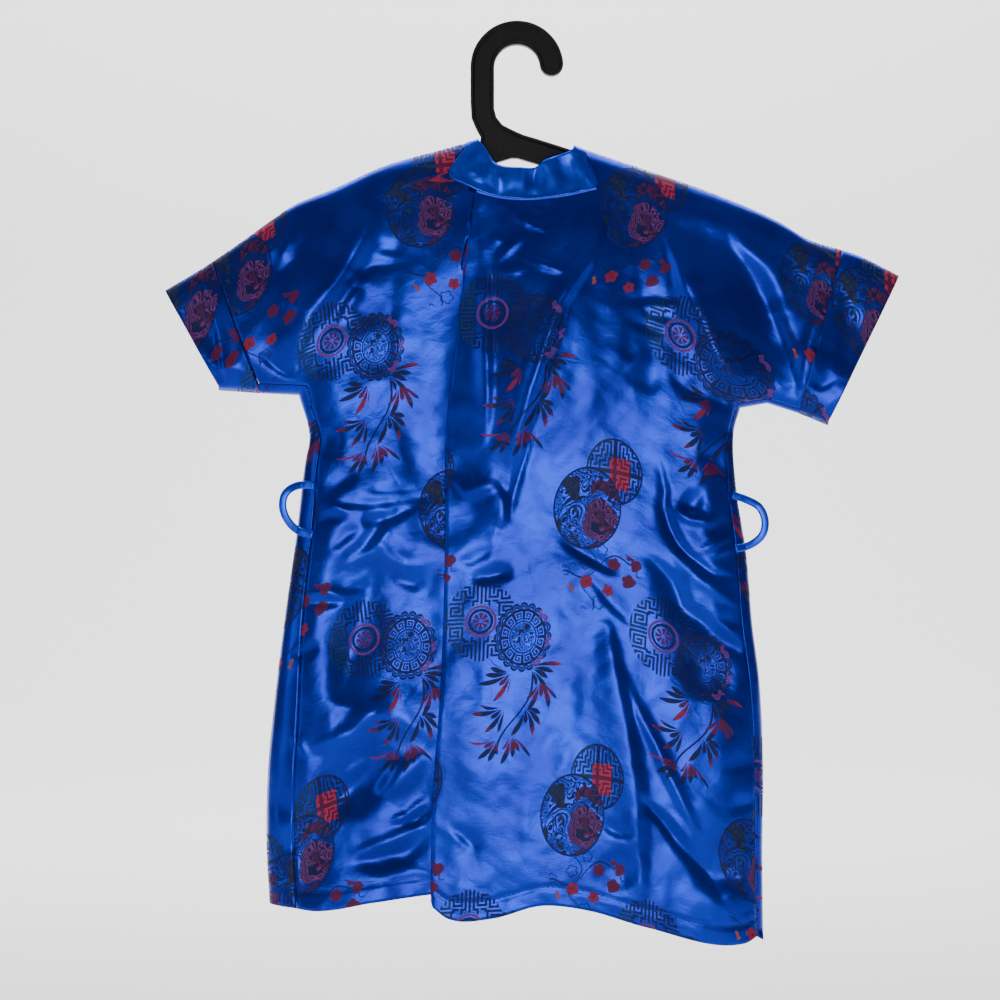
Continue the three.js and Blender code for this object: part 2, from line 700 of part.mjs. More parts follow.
// The strip down the side, from the underarm to the hem, beside a front's outermost column.
function sideStrip(side, flat, underRow) {
  const hem = flat[flat.length - 1].z;
  const seamHem = hemAt(side, sideLimit(side, HEM_LEVEL, side.wrap));
  return flat.slice(underRow).map((inner, row, rows) => {
    const part = row / (rows.length - 1);
    const outerZ = mix(side.corner.z, hem, part);
    const seamZ = mix(side.corner.z + side.wrap(side.corner.z), seamHem, part);
    return crossStrip(
      inner,
      { x: side.side(outerZ), z: outerZ },
      { x: sideLimit(side, seamZ, side.wrap), z: seamZ },
    );
  });
}

// ---------------------------------------------------------------- sleeve ends, collar, loops

const RING_INSET = 3;

function makeSleeveEnd(side) {
  const rings = [1.018, 1.35, 1.7, 2].map((at) => {
    const under = { x: side.underX(at), z: side.under(side.underX(at)) };
    const back = sleeveColumn(side, at, RING_INSET, 'back').slice(1);
    const front = sleeveColumn(side, at, RING_INSET, 'front').slice(1).reverse();
    const top = new THREE.Vector3(side.topX(at), 0, ridge(side.topX(at)));
    return [top, ...back, new THREE.Vector3(under.x, 0, under.z), ...front, top.clone()];
  });
  if (side.sign > 0) rings.reverse();
  return clothWall([fromColumns(rings)], CLOTH);
}

function makeCollar() {
  const across = (seam, free) => {
    const gap = (SEAM + 3 * SEAM_SLACK) / seam.distanceTo(free);
    return [gap, 0.5, 1].map((part) => seam.clone().lerp(free, part));
  };
  const back = COLLAR_BACK.map((row) => across(
    new THREE.Vector3(row.seamX, row.seamY, row.seamZ),
    new THREE.Vector3(row.freeX, row.freeY, row.freeZ),
  ));
  const front = (name, sign) => {
    const { neckZ: top } = FRONT_EDGES[name];
    const sloping = [0.6, 2.6, 6, 12, 24, 40, 65, 95, 130, 170, 215].map((drop) => top - drop);
    const upright = [0, 0.25, 0.5, 0.75, 1].map((part) => mix(CROSSING, HEM_LEVEL, part));
    return [...sloping, ...upright].map((z) => {
      const seamX = frontEdgeX(name, z);
      const widening = ease((top - z) / COLLAR_WIDENS);
      const freeX = seamX + sign * mix(COLLAR_TOP_WIDTH, COLLAR_WIDTH, widening);
      const clearOfHanger = HANGER_SPACE * rounded(top - z, 6);
      const y = (x) => Math.max(frontPoint(name, x, z).y, clearOfHanger);
      return across(new THREE.Vector3(seamX, y(seamX), z), new THREE.Vector3(freeX, y(freeX), z));
    });
  };
  const rows = [...front('left', 1).reverse(), ...back, ...front('right', -1)];
  return clothWall([rows], BAND_CLOTH);
}

// A narrow strap that stands out from the side seam, flat to the back.
function makeLoop(name) {
  const reach = LOOP_WIDTH / 2;
  const clear = CLOTH / 2 + LOOP_THICK / 2 + SEAM + LOOP_LIFT[name];
  const curve = new THREE.CatmullRomCurve3(BELT_LOOPS[name].map(({ x, z }) => {
    const near = [-reach, reach].map((dx) => backY(x + dx, z));
    return new THREE.Vector3(x, Math.min(...near, -5) - clear, z);
  }));
  const steps = 18;
  const rows = Array.from({ length: steps + 1 }, (_, i) => {
    const point = curve.getPoint(i / steps);
    const along = curve.getTangent(i / steps);
    const sideways = new THREE.Vector3(along.z, 0, -along.x).normalize();
    return [-1, 1].map((end) => point.clone().addScaledVector(sideways, end * LOOP_WIDTH / 2));
  });
  return clothWall([rows], LOOP_THICK);
}

// ---------------------------------------------------------------- the hanger

function makeHanger() {
  const top = (x) => {
    const off = Math.abs(x - ARM_MIDDLE);
    return ARM_PEAK - ARM_SLOPE * off - ARM_BEND * off ** 2;
  };
  const height = (x) => {
    const off = Math.abs(x - ARM_MIDDLE) / ARM_REACH;
    return mix(ARM_HEIGHT, ARM_TIP_HEIGHT, off ** 2);
  };
  const outside = HOOK_INSIDE + HOOK_BAR;
  const centre = -HOOK_INSIDE;
  const outline = [];
  const arc = (radius, from, to, steps, x = 0, z = centre) => {
    for (let i = 0; i <= steps; i += 1) {
      const angle = mix(from, to, i / steps);
      outline.push(new THREE.Vector2(x + radius * Math.cos(angle), z + radius * Math.sin(angle)));
    }
  };
  arc(outside, Math.PI, HOOK_END, 22);
  const middle = HOOK_INSIDE + HOOK_BAR / 2;
  const tip = [middle * Math.cos(HOOK_END), centre + middle * Math.sin(HOOK_END)];
  arc(HOOK_BAR / 2, HOOK_END - TIP_WRAP, HOOK_END - Math.PI + TIP_WRAP, 8, tip[0], tip[1]);
  arc(HOOK_INSIDE, HOOK_END, Math.PI, 16);
  outline.push(new THREE.Vector2(-HOOK_INSIDE, STEM_FOOT + STEM_TOE_RISE));
  outline.push(new THREE.Vector2(-HOOK_INSIDE + STEM_TOE, STEM_FOOT));
  const armEnd = (sign) => {
    const reach = ARM_MIDDLE + sign * ARM_REACH;
    const low = top(reach) - height(reach);
    const round = height(reach) / 2;
    const from = sign > 0 ? Math.PI / 2 : -Math.PI / 2;
    arc(round, from, from - Math.PI, 6, reach, (top(reach) + low) / 2);
  };
  const edgeSteps = (from, to, steps, z) => {
    for (let i = 0; i <= steps; i += 1) {
      const x = mix(from, to, i / steps);
      outline.push(new THREE.Vector2(x, z(x)));
    }
  };
  const end = ARM_REACH - ARM_ROUND_START;
  const bottom = (x) => top(x) - height(x);
  edgeSteps(ARM_MIDDLE + ARM_STARTS.right, ARM_MIDDLE + end, 8, top);
  armEnd(1);
  edgeSteps(ARM_MIDDLE + end, ARM_MIDDLE, 8, bottom);
  edgeSteps(ARM_MIDDLE + ARM_STARTS.leftLow, ARM_MIDDLE - end, 7, bottom);
  armEnd(-1);
  edgeSteps(ARM_MIDDLE - end, ARM_MIDDLE + ARM_STARTS.leftTop, 8, top);
  for (const [x, z] of [...STEM_SPREAD].reverse()) outline.push(new THREE.Vector2(x, z));
  outline.push(new THREE.Vector2(-outside, STEM_FOOT));
  const geometry = new THREE.ExtrudeGeometry(new THREE.Shape(outline), {
    depth: HANGER_THICK,
    bevelEnabled: false,
  });
  geometry.translate(0, 0, -HANGER_THICK / 2);
  geometry.rotateX(Math.PI / 2);
  return geometry;
}

// ---------------------------------------------------------------- the part

const satin = (color) => new THREE.MeshStandardMaterial({
  color,
  roughness: 0.42,
  metalness: 0,
  side: THREE.DoubleSide,
});

const part = new THREE.Group();

function add(name, geometry, material) {
  const mesh = new THREE.Mesh(geometry, material);
  mesh.name = name;
  part.add(mesh);
}

const brocade = satin(COLOURS.brocade);
const brocadeLight = satin(COLOURS.brocadeLight);
const band = satin(COLOURS.band);
const plastic = new THREE.MeshStandardMaterial({
  color: COLOURS.plastic,
  roughness: 0.5,
  metalness: 0,
});

add('back', makeBack(), brocade);
add('front_left', makeFront(LEFT), brocadeLight);
add('front_right', makeFront(RIGHT), brocadeLight);
add('front_sleeve_left', makeFrontSleeve(LEFT), brocadeLight);
add('front_sleeve_right', makeFrontSleeve(RIGHT), brocadeLight);
add('sleeve_end_left', makeSleeveEnd(LEFT), brocade);
add('sleeve_end_right', makeSleeveEnd(RIGHT), brocade);
add('collar', makeCollar(), band);
add('belt_loop_left', makeLoop('left'), band);
add('belt_loop_right', makeLoop('right'), band);
add('hanger', makeHanger(), plastic);

export default part;
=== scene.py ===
# %% [markdown]
# # A child's kimono robe of satin brocade on its hanger
# The robe hangs with its back towards us (-Y). It is a T of cloth: one piece of back with its
# sleeves cut in one, two fronts that cross, short sleeve ends, and a plain band round the neck.
# Each piece could be simulated as falling cloth, but this one must keep an exact outline, a deep
# fold and about a hundred creases in known places. So each is worked out as a surface instead:
# a place in the outline gives a depth, and every crease adds its own small rise to that depth.
# All the tables here are in millimetres. The meshes are made in metres, as the frame wants.

import bmesh
import bpy
import numpy as np
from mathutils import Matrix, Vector


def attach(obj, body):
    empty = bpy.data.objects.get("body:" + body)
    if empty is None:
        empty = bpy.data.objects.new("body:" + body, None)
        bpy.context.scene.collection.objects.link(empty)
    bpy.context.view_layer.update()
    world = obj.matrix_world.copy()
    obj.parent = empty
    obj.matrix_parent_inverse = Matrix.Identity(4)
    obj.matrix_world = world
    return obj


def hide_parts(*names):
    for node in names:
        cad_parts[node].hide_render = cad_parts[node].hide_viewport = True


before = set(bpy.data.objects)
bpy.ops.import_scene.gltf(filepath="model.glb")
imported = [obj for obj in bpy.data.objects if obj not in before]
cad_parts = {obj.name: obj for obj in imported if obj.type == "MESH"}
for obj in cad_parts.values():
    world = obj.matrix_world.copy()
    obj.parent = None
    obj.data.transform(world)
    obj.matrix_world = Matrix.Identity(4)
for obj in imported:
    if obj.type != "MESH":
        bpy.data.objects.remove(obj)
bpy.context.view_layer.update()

# %% [markdown]
# ## The camera, the room and the light
# Satin shows its folds only by what it mirrors, so the light decides how it looks. The key is a
# soft box just below the camera: cloth that faces us mirrors it, and cloth that turns away goes
# dark blue. Weaker boxes fill from the left, the top and the far side. Two more, higher up, light
# the pale floor and the wall that it curves up into.

# %% Camera
FRAME_MIDDLE = (-11.9, -318.5)  # X and Z of the middle of the picture
FRAME_WIDTH = 700.0
CAMERA_BACK = 1900.0
SENSOR = 36.0

camera_data = bpy.data.cameras.new("camera")
camera_data.sensor_width = SENSOR
camera_data.lens = SENSOR * CAMERA_BACK / FRAME_WIDTH
camera = bpy.data.objects.new("camera", camera_data)
camera.location = Vector((FRAME_MIDDLE[0], -CAMERA_BACK, FRAME_MIDDLE[1])) / 1000
camera.rotation_euler = (np.pi / 2, 0, 0)
bpy.context.collection.objects.link(camera)
bpy.context.scene.camera = camera
print("lens", round(camera_data.lens, 1), "mm")


# %% Soft boxes
def soft_box(name, place, aim, size, watts, colour=(1, 1, 1)):
    """A rectangular lamp at a place, turned so that it shines at another, both in metres."""
    lamp = bpy.data.lights.new(name, "AREA")
    lamp.shape = "RECTANGLE"
    lamp.size, lamp.size_y = size
    lamp.energy = watts
    lamp.color = colour
    thing = bpy.data.objects.new(name, lamp)
    thing.location = place
    thing.rotation_euler = (Vector(aim) - Vector(place)).to_track_quat("-Z", "Y").to_euler()
    thing.visible_camera = False
    bpy.context.collection.objects.link(thing)
    return thing


MIDDLE = (-0.01, 0.0, -0.32)
soft_box("key", (0.05, -1.9, -0.50), MIDDLE, (0.70, 0.66), 11)
soft_box("left fill", (-1.5, -1.1, -0.1), MIDDLE, (0.5, 1.0), 3, (0.92, 0.96, 1.0))
soft_box("top", (0.1, -0.3, 1.3), MIDDLE, (1.0, 0.6), 9)
soft_box("front", (-0.3, 1.7, 0.5), MIDDLE, (0.9, 0.6), 9)
soft_box("wall", (0.0, 1.5, 2.0), (0.0, 3.0, -0.4), (4.4, 0.6), 230)
soft_box("floor", (0.0, 0.3, 1.6), (0.0, 1.4, -0.74), (2.6, 0.6), 30)

world = bpy.data.worlds.new("room")
bpy.context.scene.world = world
world.use_nodes = True
world.node_tree.nodes["Background"].inputs["Color"].default_value = (0.88, 0.84, 0.98, 1)
world.node_tree.nodes["Background"].inputs["Strength"].default_value = 0.11

# %% [markdown]
# ## Small maths
# The outline is kept as short tables. A smooth curve through their points reads better than
# straight lines, so a cubic with slopes taken from each point's neighbours joins them. Everything
# works on whole arrays at once.


# %% Small maths
def mix(a, b, t):
    """A straight blend from a to b."""
    return a + (b - a) * t


def clamp(t):
    """t, held between 0 and 1."""
    return np.clip(t, 0.0, 1.0)


def ease(t):
    """Three t squared less two t cubed: a blend that starts and stops softly."""
    t = clamp(t)
    return t * t * (3 - 2 * t)


def rounded(distance, over):
    """The root of 1 less the fourth power of what is left: how a flattened tube's side turns."""
    return np.sqrt(1 - (1 - clamp(distance / over)) ** 4)


def reader(table, soft=True):
    """A function that reads a table of pairs: a cubic with the mean slope of each point's two
    sides, or straight lines, and on past both ends with the end's own slope."""
    rows = np.array(sorted(table), float)
    at, value = rows[:, 0], rows[:, 1]
    steps = np.diff(value) / np.diff(at)
    slopes = np.concatenate([steps[:1], (steps[1:] + steps[:-1]) / 2, steps[-1:]])

    def read(where):
        where = np.asarray(where, float)
        i = np.clip(np.searchsorted(at, where, side="right"), 1, len(at) - 1)
        wide = at[i] - at[i - 1]
        t = (where - at[i - 1]) / wide
        straight = mix(value[i - 1], value[i], t)
        if not soft:
            return straight
        s = clamp(t)
        bend = s * (1 - s) * wide * (
            (slopes[i - 1] - steps[i - 1]) * (1 - s) - (slopes[i] - steps[i - 1]) * s)
        return straight + bend
    return read


def nearest(points, x, z):
    """The distance from each place to a line of points, how far along that line the nearest
    point is from 0 to 1, and the side that the place lies on: 1 for the left of the line as it
    runs, seen from -Y, and -1 for the right."""
    points = np.asarray(points, float)
    best = np.full(np.shape(x), np.inf)
    along = np.zeros(np.shape(x))
    side = np.ones(np.shape(x))
    lengths = np.hypot(*np.diff(points, axis=0).T)
    total = lengths.sum()
    for number, (a, b) in enumerate(zip(points[:-1], points[1:])):
        dx, dz = b - a
        t = clamp(((x - a[0]) * dx + (z - a[1]) * dz) / lengths[number] ** 2)
        off = np.hypot(x - a[0] - dx * t, z - a[1] - dz * t)
        closer = off < best
        best = np.where(closer, off, best)
        along = np.where(closer, (lengths[:number].sum() + t * lengths[number]) / total, along)
        turn = dx * (z - a[1]) - dz * (x - a[0])
        side = np.where(closer, np.where(turn < 0, -1.0, 1.0), side)
    return best, along, side


# %% [markdown]
# ## The outline of the flattened robe
# These are the robe's own sizes: 513 mm from cuff to cuff, 304 mm across the waist, 345 mm at
# the hem. Left means smaller X all through.

# %% Outline tables
RIDGE_LEFT = [(-246, -172), (-213, -152), (-171, -122.5), (-157, -112.7), (-130, -101.5),
              (-92, -84.5), (-54, -74), (-33, -68)]
RIDGE_RIGHT = [(46, -73), (86, -86.5), (143, -106.4), (183, -124), (204, -136.5),
               (239, -147.7), (267, -161.7)]
UNDER_LEFT = [(-208.6, -241.5), (-180, -243.5), (-152.6, -245)]
UNDER_RIGHT = [(217.7, -266), (197, -257.5), (175, -250.5), (156, -254)]
SIDE_LEFT = [(-245, -152.6), (-273, -145), (-295, -148.5), (-342, -154), (-402, -162.4),
             (-459, -169.4), (-506, -174), (-560, -175), (-598, -173)]
SIDE_RIGHT = [(-254, 156), (-270, 151.5), (-309, 153), (-355, 160), (-406, 164.5),
              (-445, 169.4), (-507, 172), (-564, 171.5), (-619, 172)]
WRAP_LEFT = [(-620, 20), (-480, 19), (-400, 13), (-310, 10), (-255, 7), (-230, 6)]
WRAP_RIGHT = [(-620, 5), (-480, 7), (-400, 8), (-310, 6), (-255, 3), (-230, 3)]
HEM_LEFT = [(-173, -598), (-141, -604), (-99, -598), (-60, -593)]
HEM_RIGHT = [(-60, -600), (-48, -609), (-18, -609), (17, -600), (50, -603.5),
             (88, -614.5), (157, -627), (172, -619)]
NECK = [(-48, -92), (-36, -99.5), (-18, -106.5), (3, -109.3), (31, -107), (56, -101)]
FOLD_EDGE = [(-620, -60), (-528, -58.5), (-450, -53), (-360, -50), (-270, -49), (-200, -41),
             (-105, -28)]

NECK_ENDS = (-33.0, 46.0)  # X where the two shoulder lines end at the neck

CLOTH = 0.7  # the brocade's thickness, a little more than the real cloth's so that it stays shut
SEAM = 0.5  # between two pieces that are sewn together
BODY_DEPTH, HEM_DEPTH, SLEEVE_DEPTH = 11.0, 15.0, 8.0
WAIST_LEVEL, SLEEVE_FROM, SLEEVE_BLEND = -300.0, 120.0, 70.0
TOP_ROUND, EDGE_ROUND = 30.0, 20.0
LEAN, STITCH_DIP, STITCH_DIP_WIDTH = 3.2, 0.7, 1.6
FOLD_RADIUS, FOLD_TOP, FOLD_CLOSED = 1.1, -150.0, -205.0
FOLD_OVERLAP_TOP, FOLD_OVERLAP_HEM, HEM_LEVEL, HEM_TURN = 8.0, 38.0, -600.0, 13.0

ridge_left, ridge_right = reader(RIDGE_LEFT), reader(RIDGE_RIGHT)
fold_edge, neck_z = reader(FOLD_EDGE), reader(NECK)
hem_left, hem_right = reader(HEM_LEFT), reader(HEM_RIGHT)


def ridge(x):
    """The height of the shoulder line over a place."""
    return np.where(x < sum(NECK_ENDS) / 2, ridge_left(x), ridge_right(x))


class Side:
    """One side of the robe: its sleeve runs from 0 at the armhole to 1 at the seam of its end
    piece to 2 at the cuff."""

    def __init__(self, name, sign, under, side, wrap, tops, unders):
        self.name, self.sign = name, sign
        self.under, self.side = reader(under, soft=False), reader(side)
        self.wrap = reader(wrap)
        self.top_x = reader(list(zip((0, 1, 2), tops)), soft=False)
        self.under_x = reader(list(zip((0, 1, 2), unders)), soft=False)
        self.corner = np.array(side[0][::-1], float)
        self.line = np.array(under + [row[::-1] for row in side[1:]], float)


LEFT = Side("left", -1, UNDER_LEFT, SIDE_LEFT, WRAP_LEFT, (-150, -213, -246),
            (-152.6, -180, -208.6))
RIGHT = Side("right", 1, UNDER_RIGHT, SIDE_RIGHT, WRAP_RIGHT, (150, 227, 267),
             (156, 197, 217.7))
print("cuff to cuff", LEFT.top_x(2), RIGHT.top_x(2))

# %% [markdown]
# ## Creases
# A crease is a rise along a line of points: its height falls off on each side over a width of
# its own, so a fold can be steep on one side and slack on the other, and it fades at both ends.
# The plus side is on the left of the line as it runs. Positive heights stand out from the robe's
# middle, towards -Y on the back. Each was placed where the cloth is pulled: out of the armpits,
# round the belt loops, down the skirt, and beside the deep fold.

# %% The creases of the back
LET_OUT, NARROW, ALIKE = 2.6, 7.0, 1.5
CREASES = [  # name, height, width on its plus side, width on its minus side, sharpness, points
    ("lie of the upper back", -4.5, 40, 62, 2,
     [(-33, -112), (-42, -180), (-49, -270), (-52, -350)]),
    ("flat panel under the neck", 6.2, 7, 62, 0,
     [(62, -118), (48, -152), (29, -181), (20, -210), (9, -241), (-1, -284), (-12, -336)]),
    ("sag under the neck", 7, 150, 46, 2, [(-90, -222), (-20, -226), (40, -214), (92, -205)]),
    ("neck to waist ridge", 3, 15, 5, 1.5,
     [(65, -124), (48, -152), (29, -181), (20, -210), (9, -241), (-1, -284), (-12, -336)]),
    ("upright crease of the upper back", 3, 3, 9, 1.5,
     [(-21, -156), (-22, -200), (-21, -248), (-22, -276)]),
    ("neck crease", 1.5, 1.8, 1.8, 1.6, [(0, -122), (11, -128), (22, -132)]),
    ("neck crease", 1.5, 1.8, 1.8, 1.6, [(-15, -153), (-5, -144), (6, -135)]),
    ("neck crease", 1.1, 1.8, 1.8, 1.6, [(-19, -137), (-10, -138)]),
    ("neck crease", 1.8, 2.0, 1.8, 1.6, [(3, -150), (16, -155), (36, -162)]),
    ("neck crease", 1.5, 1.8, 1.8, 1.6, [(-18, -160), (-8, -161), (7, -158)]),
    ("neck crease", 1, 3, 3, 2, [(23, -145), (31, -139), (36, -131), (41, -119)]),
    ("kink in the middle", 2.6, 7, 4, 1.4, [(-46, -301), (-35, -312), (-14, -308)]),
    ("kink in the middle", 2.2, 3, 8, 1.4, [(-14, -308), (-10, -321), (-7, -338)]),
    ("dark fold of the middle", -3, 4, 7, 2, [(10, -262), (2, -287), (-6, -312), (-9, -337)]),
    ("fold end at the middle", -2.2, 2.5, 2.9, 1.5,
     [(-32, -374), (-21, -372), (-10, -370), (-3, -371)]),
    ("small dent", -1.2, 1.8, 2.6, 1.6, [(-42, -362), (-31, -361), (-20, -354), (-12, -353)]),
    ("left armpit ridge", 6, 7, 20, 1.5,
     [(-94, -105), (-108, -133), (-120, -158), (-134, -175), (-144, -187), (-150, -203),
     (-153, -220)]),
    ("flat panel of the left sleeve", 3.6, 66, 6, 0, [(-218, -158), (-206, -200), (-200, -240)]),
    ("left sleeve strip", 3, 6, 7, 2, [(-157, -124), (-163, -140), (-169, -158)]),
    ("left chest crease", -1.4, 2.1, 2.1, 1.6, [(-118, -160), (-99, -156), (-80, -155)]),
    ("left chest crease", -1.2, 1.8, 1.8, 1.6, [(-122, -167), (-111, -163), (-101, -161)]),
    ("left chest crease", -0.9, 2, 2, 2, [(-99, -144), (-88, -145), (-78, -146)]),
    ("left chest facet", 1.3, 4.1, 2.5, 1.5, [(-107, -169), (-117, -182), (-124, -197)]),
    ("left underarm crease", -1.4, 2.5, 2.5, 1.6, [(-178, -218), (-166, -227), (-154, -234)]),
    ("left sleeve end hollow", -3, 9, 10, 2, [(-214, -184), (-206, -206), (-201, -226)]),
    ("left sleeve end ridge", 1.3, 4.1, 3.3, 2, [(-227, -206), (-211, -223), (-190, -230)]),
    ("right shoulder fold", 3.6, 5, 14, 1.5,
     [(97, -113), (128, -118), (153, -125), (191, -134), (227, -148)]),
    ("right armpit ridge", 7, 22, 7, 1.5,
     [(101, -122), (111, -147), (120, -175), (130, -196), (139, -215), (149, -233), (154, -251)]),
    ("right sleeve hollow", -5, 8, 20, 2, [(156, -152), (177, -198), (192, -237)]),
    ("right sleeve bright fold", 2.4, 7, 5, 1.8,
     [(150, -129), (162, -145), (175, -156), (183, -173)]),
    ("right sleeve seam pucker", 2.4, 9, 4, 1.6,
     [(216, -178), (206, -200), (201, -222), (199, -243)]),
    ("right sleeve end hollow", -2.2, 8, 9, 2, [(230, -178), (234, -203), (227, -233)]),
    ("right sleeve crumple", -0.9, 2.5, 2.5, 2, [(206, -191), (219, -184)]),
    ("right sleeve crumple", -0.7, 2.5, 2.5, 2, [(202, -210), (214, -215), (223, -214)]),
    ("right sleeve crumple", -0.9, 2.5, 2.5, 2, [(200, -234), (212, -239), (222, -234)]),
    ("right armpit crease", -1.6, 2.1, 2.5, 1.6, [(67, -181), (93, -178), (122, -180)]),
    ("right armpit crease", -0.9, 2, 2, 2, [(77, -195), (90, -199), (102, -204)]),
    ("right armpit crease", -0.9, 2, 2, 2, [(86, -188), (100, -192), (114, -191)]),
    ("right armpit diagonal", -1.6, 2.8, 3.3, 1.6,
     [(106, -232), (117, -241), (133, -248), (150, -254)]),
    ("right arm dimple", -0.7, 2.5, 2.5, 2, [(71, -214), (79, -218), (86, -216)]),
    ("right arm dimple", -0.8, 2.8, 2.8, 2, [(76, -233), (88, -237), (97, -243)]),
    ("right waist crease", -2.2, 3.3, 4.1, 1.6, [(128, -285), (141, -295), (150, -302)]),
    ("right waist fold", -2.3, 2.5, 4.1, 1.6,
     [(99, -292), (103, -312), (102, -323), (106, -337), (113, -350), (120, -358), (136, -370),
     (151, -373)]),
    ("right waist ridge", 1.9, 3.3, 2.5, 1.4, [(109, -325), (120, -332), (132, -334), (137, -329)]),
    ("right waist hollow", -1.9, 4.1, 3.3, 2, [(113, -320), (121, -323), (128, -326)]),
    ("right loop crease", 1.3, 2, 2, 1.5, [(125, -355), (136, -350), (150, -343)]),
    ("right loop crease", 1.1, 1.8, 1.8, 1.5, [(134, -358), (144, -354), (151, -351)]),
    ("right loop crease", -1.2, 2.1, 2.1, 2, [(132, -343), (142, -338), (150, -333)]),
    ("right hip crease", -2, 2.5, 2.5, 1.5, [(31, -348), (46, -356), (71, -370)]),
    ("right hip crease", -1.2, 2.3, 2.3, 1.6, [(48, -369), (63, -388), (82, -407)]),
    ("right hip fold", -4.2, 5, 9, 1.6,
     [(92, -358), (108, -375), (115, -393), (136, -410), (160, -427)]),
    ("right hip ridge", 1.6, 3.3, 4.1, 1.6, [(106, -352), (128, -374), (148, -388), (157, -393)]),
    ("right hip hollow", -3.6, 14, 14, 2, [(120, -414), (132, -433), (139, -458)]),
    ("right hip dent", -1, 2.1, 2.1, 2, [(139, -400), (148, -404), (156, -408)]),
    ("right skirt step", 4.2, 4, 16, 1.6,
     [(58, -404), (63, -406), (66, -423), (69, -444), (74, -465), (78, -492), (83, -522),
     (84, -551), (87, -591)]),
    ("right skirt ridge", 2.3, 4.1, 2.6, 1.4,
     [(76, -444), (85, -467), (96, -488), (104, -507), (113, -526), (123, -547), (132, -551)]),
    ("right skirt slot", -2.6, 3, 2.5, 1.5,
     [(84, -524), (101, -542), (113, -559), (130, -577), (144, -600)]),
    ("right skirt slot edge", 1.3, 4.1, 2.1, 1.5,
     [(92, -526), (108, -540), (125, -561), (136, -579)]),
    ("right skirt hollow", -4.6, 9, 12, 2, [(131, -550), (139, -572), (155, -587)]),
    ("right skirt dent", -1.6, 2.1, 2.5, 1.6, [(59, -544), (69, -549), (81, -551)]),
    ("right skirt slope", -2.4, 9, 10, 2, [(61, -564), (69, -576), (78, -589)]),
    ("right side crease", -1.3, 2.5, 2.5, 1.6, [(149, -536), (158, -531), (168, -528)]),
    ("right side crease", -0.9, 3.3, 3.3, 2, [(146, -506), (158, -503), (167, -502)]),
    ("left waist fold", -2.7, 2.8, 3, 1.5, [(-69, -322), (-92, -333), (-106, -351), (-120, -360)]),
    ("left waist fold", -1.4, 2.3, 2.3, 1.6, [(-108, -335), (-99, -333), (-91, -332)]),
    ("left waist crease", -1.4, 2.3, 2.3, 1.6, [(-129, -353), (-119, -344), (-108, -337)]),
    ("left waist crease", -1.2, 2, 2, 1.6, [(-126, -321), (-103, -322), (-73, -318), (-62, -318)]),
    ("left waist crease", -1.1, 2, 2, 1.6, [(-104, -312), (-86, -312), (-71, -311)]),
    ("left waist wedge", -1.7, 3, 3.3, 1.8, [(-132, -316), (-122, -307), (-111, -300)]),
    ("left waist dent", -1.6, 4.1, 4.9, 2, [(-134, -290), (-130, -281), (-125, -271)]),
    ("left loop ridge", 1.2, 2.1, 2.5, 1.6, [(-139, -327), (-128, -323), (-115, -327)]),
    ("left loop crease", -1, 2, 2, 1.8, [(-139, -335), (-130, -332), (-117, -330)]),
    ("left hip crease", -1.9, 1.8, 2, 1.5, [(-148, -390), (-135, -391), (-121, -389)]),
    ("left hip crease", -1.6, 1.8, 2, 1.5, [(-129, -381), (-117, -380), (-106, -379)]),
    ("left hip ridge", 0.9, 2, 2, 1.8, [(-145, -384), (-131, -383), (-120, -386)]),
    ("left side crease", -1.6, 2.1, 2.3, 1.6, [(-162, -428), (-147, -426), (-136, -419)]),
    ("left hip slope", -1.9, 4.1, 4.9, 2, [(-131, -377), (-115, -369), (-100, -360)]),
    ("left hip hollow", -9, 46, 13, 1.25, [(-92, -350), (-105, -390), (-115, -425), (-124, -461)]),
    ("left hip dent", -1.2, 3.3, 3.3, 1.8, [(-96, -344), (-78, -358), (-61, -359)]),
    ("left hip dent", -1.2, 3.3, 3.3, 1.8, [(-88, -372), (-73, -377), (-64, -377)]),
    ("left skirt ridge", 3.4, 6, 8, 1.8, [(-139, -489), (-115, -482), (-99, -464), (-92, -457)]),
    ("left skirt ridge", 1.3, 3.3, 3.3, 1.8, [(-121, -511), (-111, -505), (-102, -499)]),
    ("left skirt ridge", 3, 6, 7, 1.8, [(-96, -525), (-80, -510), (-62, -495)]),
    ("left skirt hollow", -4.2, 9, 11, 2, [(-134, -537), (-106, -517), (-90, -489)]),
    ("left skirt crease", 1.9, 2.1, 2.5, 1.5, [(-89, -542), (-76, -538), (-62, -526)]),
    ("left skirt crease", -1.9, 2.1, 2.5, 1.6, [(-79, -545), (-69, -541), (-61, -534)]),
    ("left skirt ridge", 2, 4.1, 4.9, 1.8, [(-108, -563), (-87, -556), (-67, -546)]),
    ("left skirt hollow", -3, 5, 7, 2, [(-114, -572), (-81, -565), (-62, -550)]),
    ("left side dent", -1.2, 4.1, 4.1, 2, [(-169, -528), (-162, -534), (-155, -541)]),
    ("left side dent", -1.3, 3.3, 4.1, 2, [(-173, -560), (-163, -558), (-152, -562)]),
    ("left side dent", 1.3, 2.5, 2.5, 1.8, [(-155, -483), (-150, -490), (-146, -498)]),
    ("left skirt fall", -8, 58, 13, 1.25, [(-84, -466), (-118, -508), (-138, -550), (-150, -600)]),
    ("middle dent", -1.4, 2, 2.5, 1.6, [(-46, -545), (-37, -552), (-27, -562)]),
    ("middle swell", 0.9, 16, 14, 2, [(-33, -416), (-30, -472), (-27, -528)]),
    ("middle hollow", -0.8, 18, 18, 2, [(16, -388), (22, -451), (24, -514)]),
]
print(len(CREASES), "creases on the back")


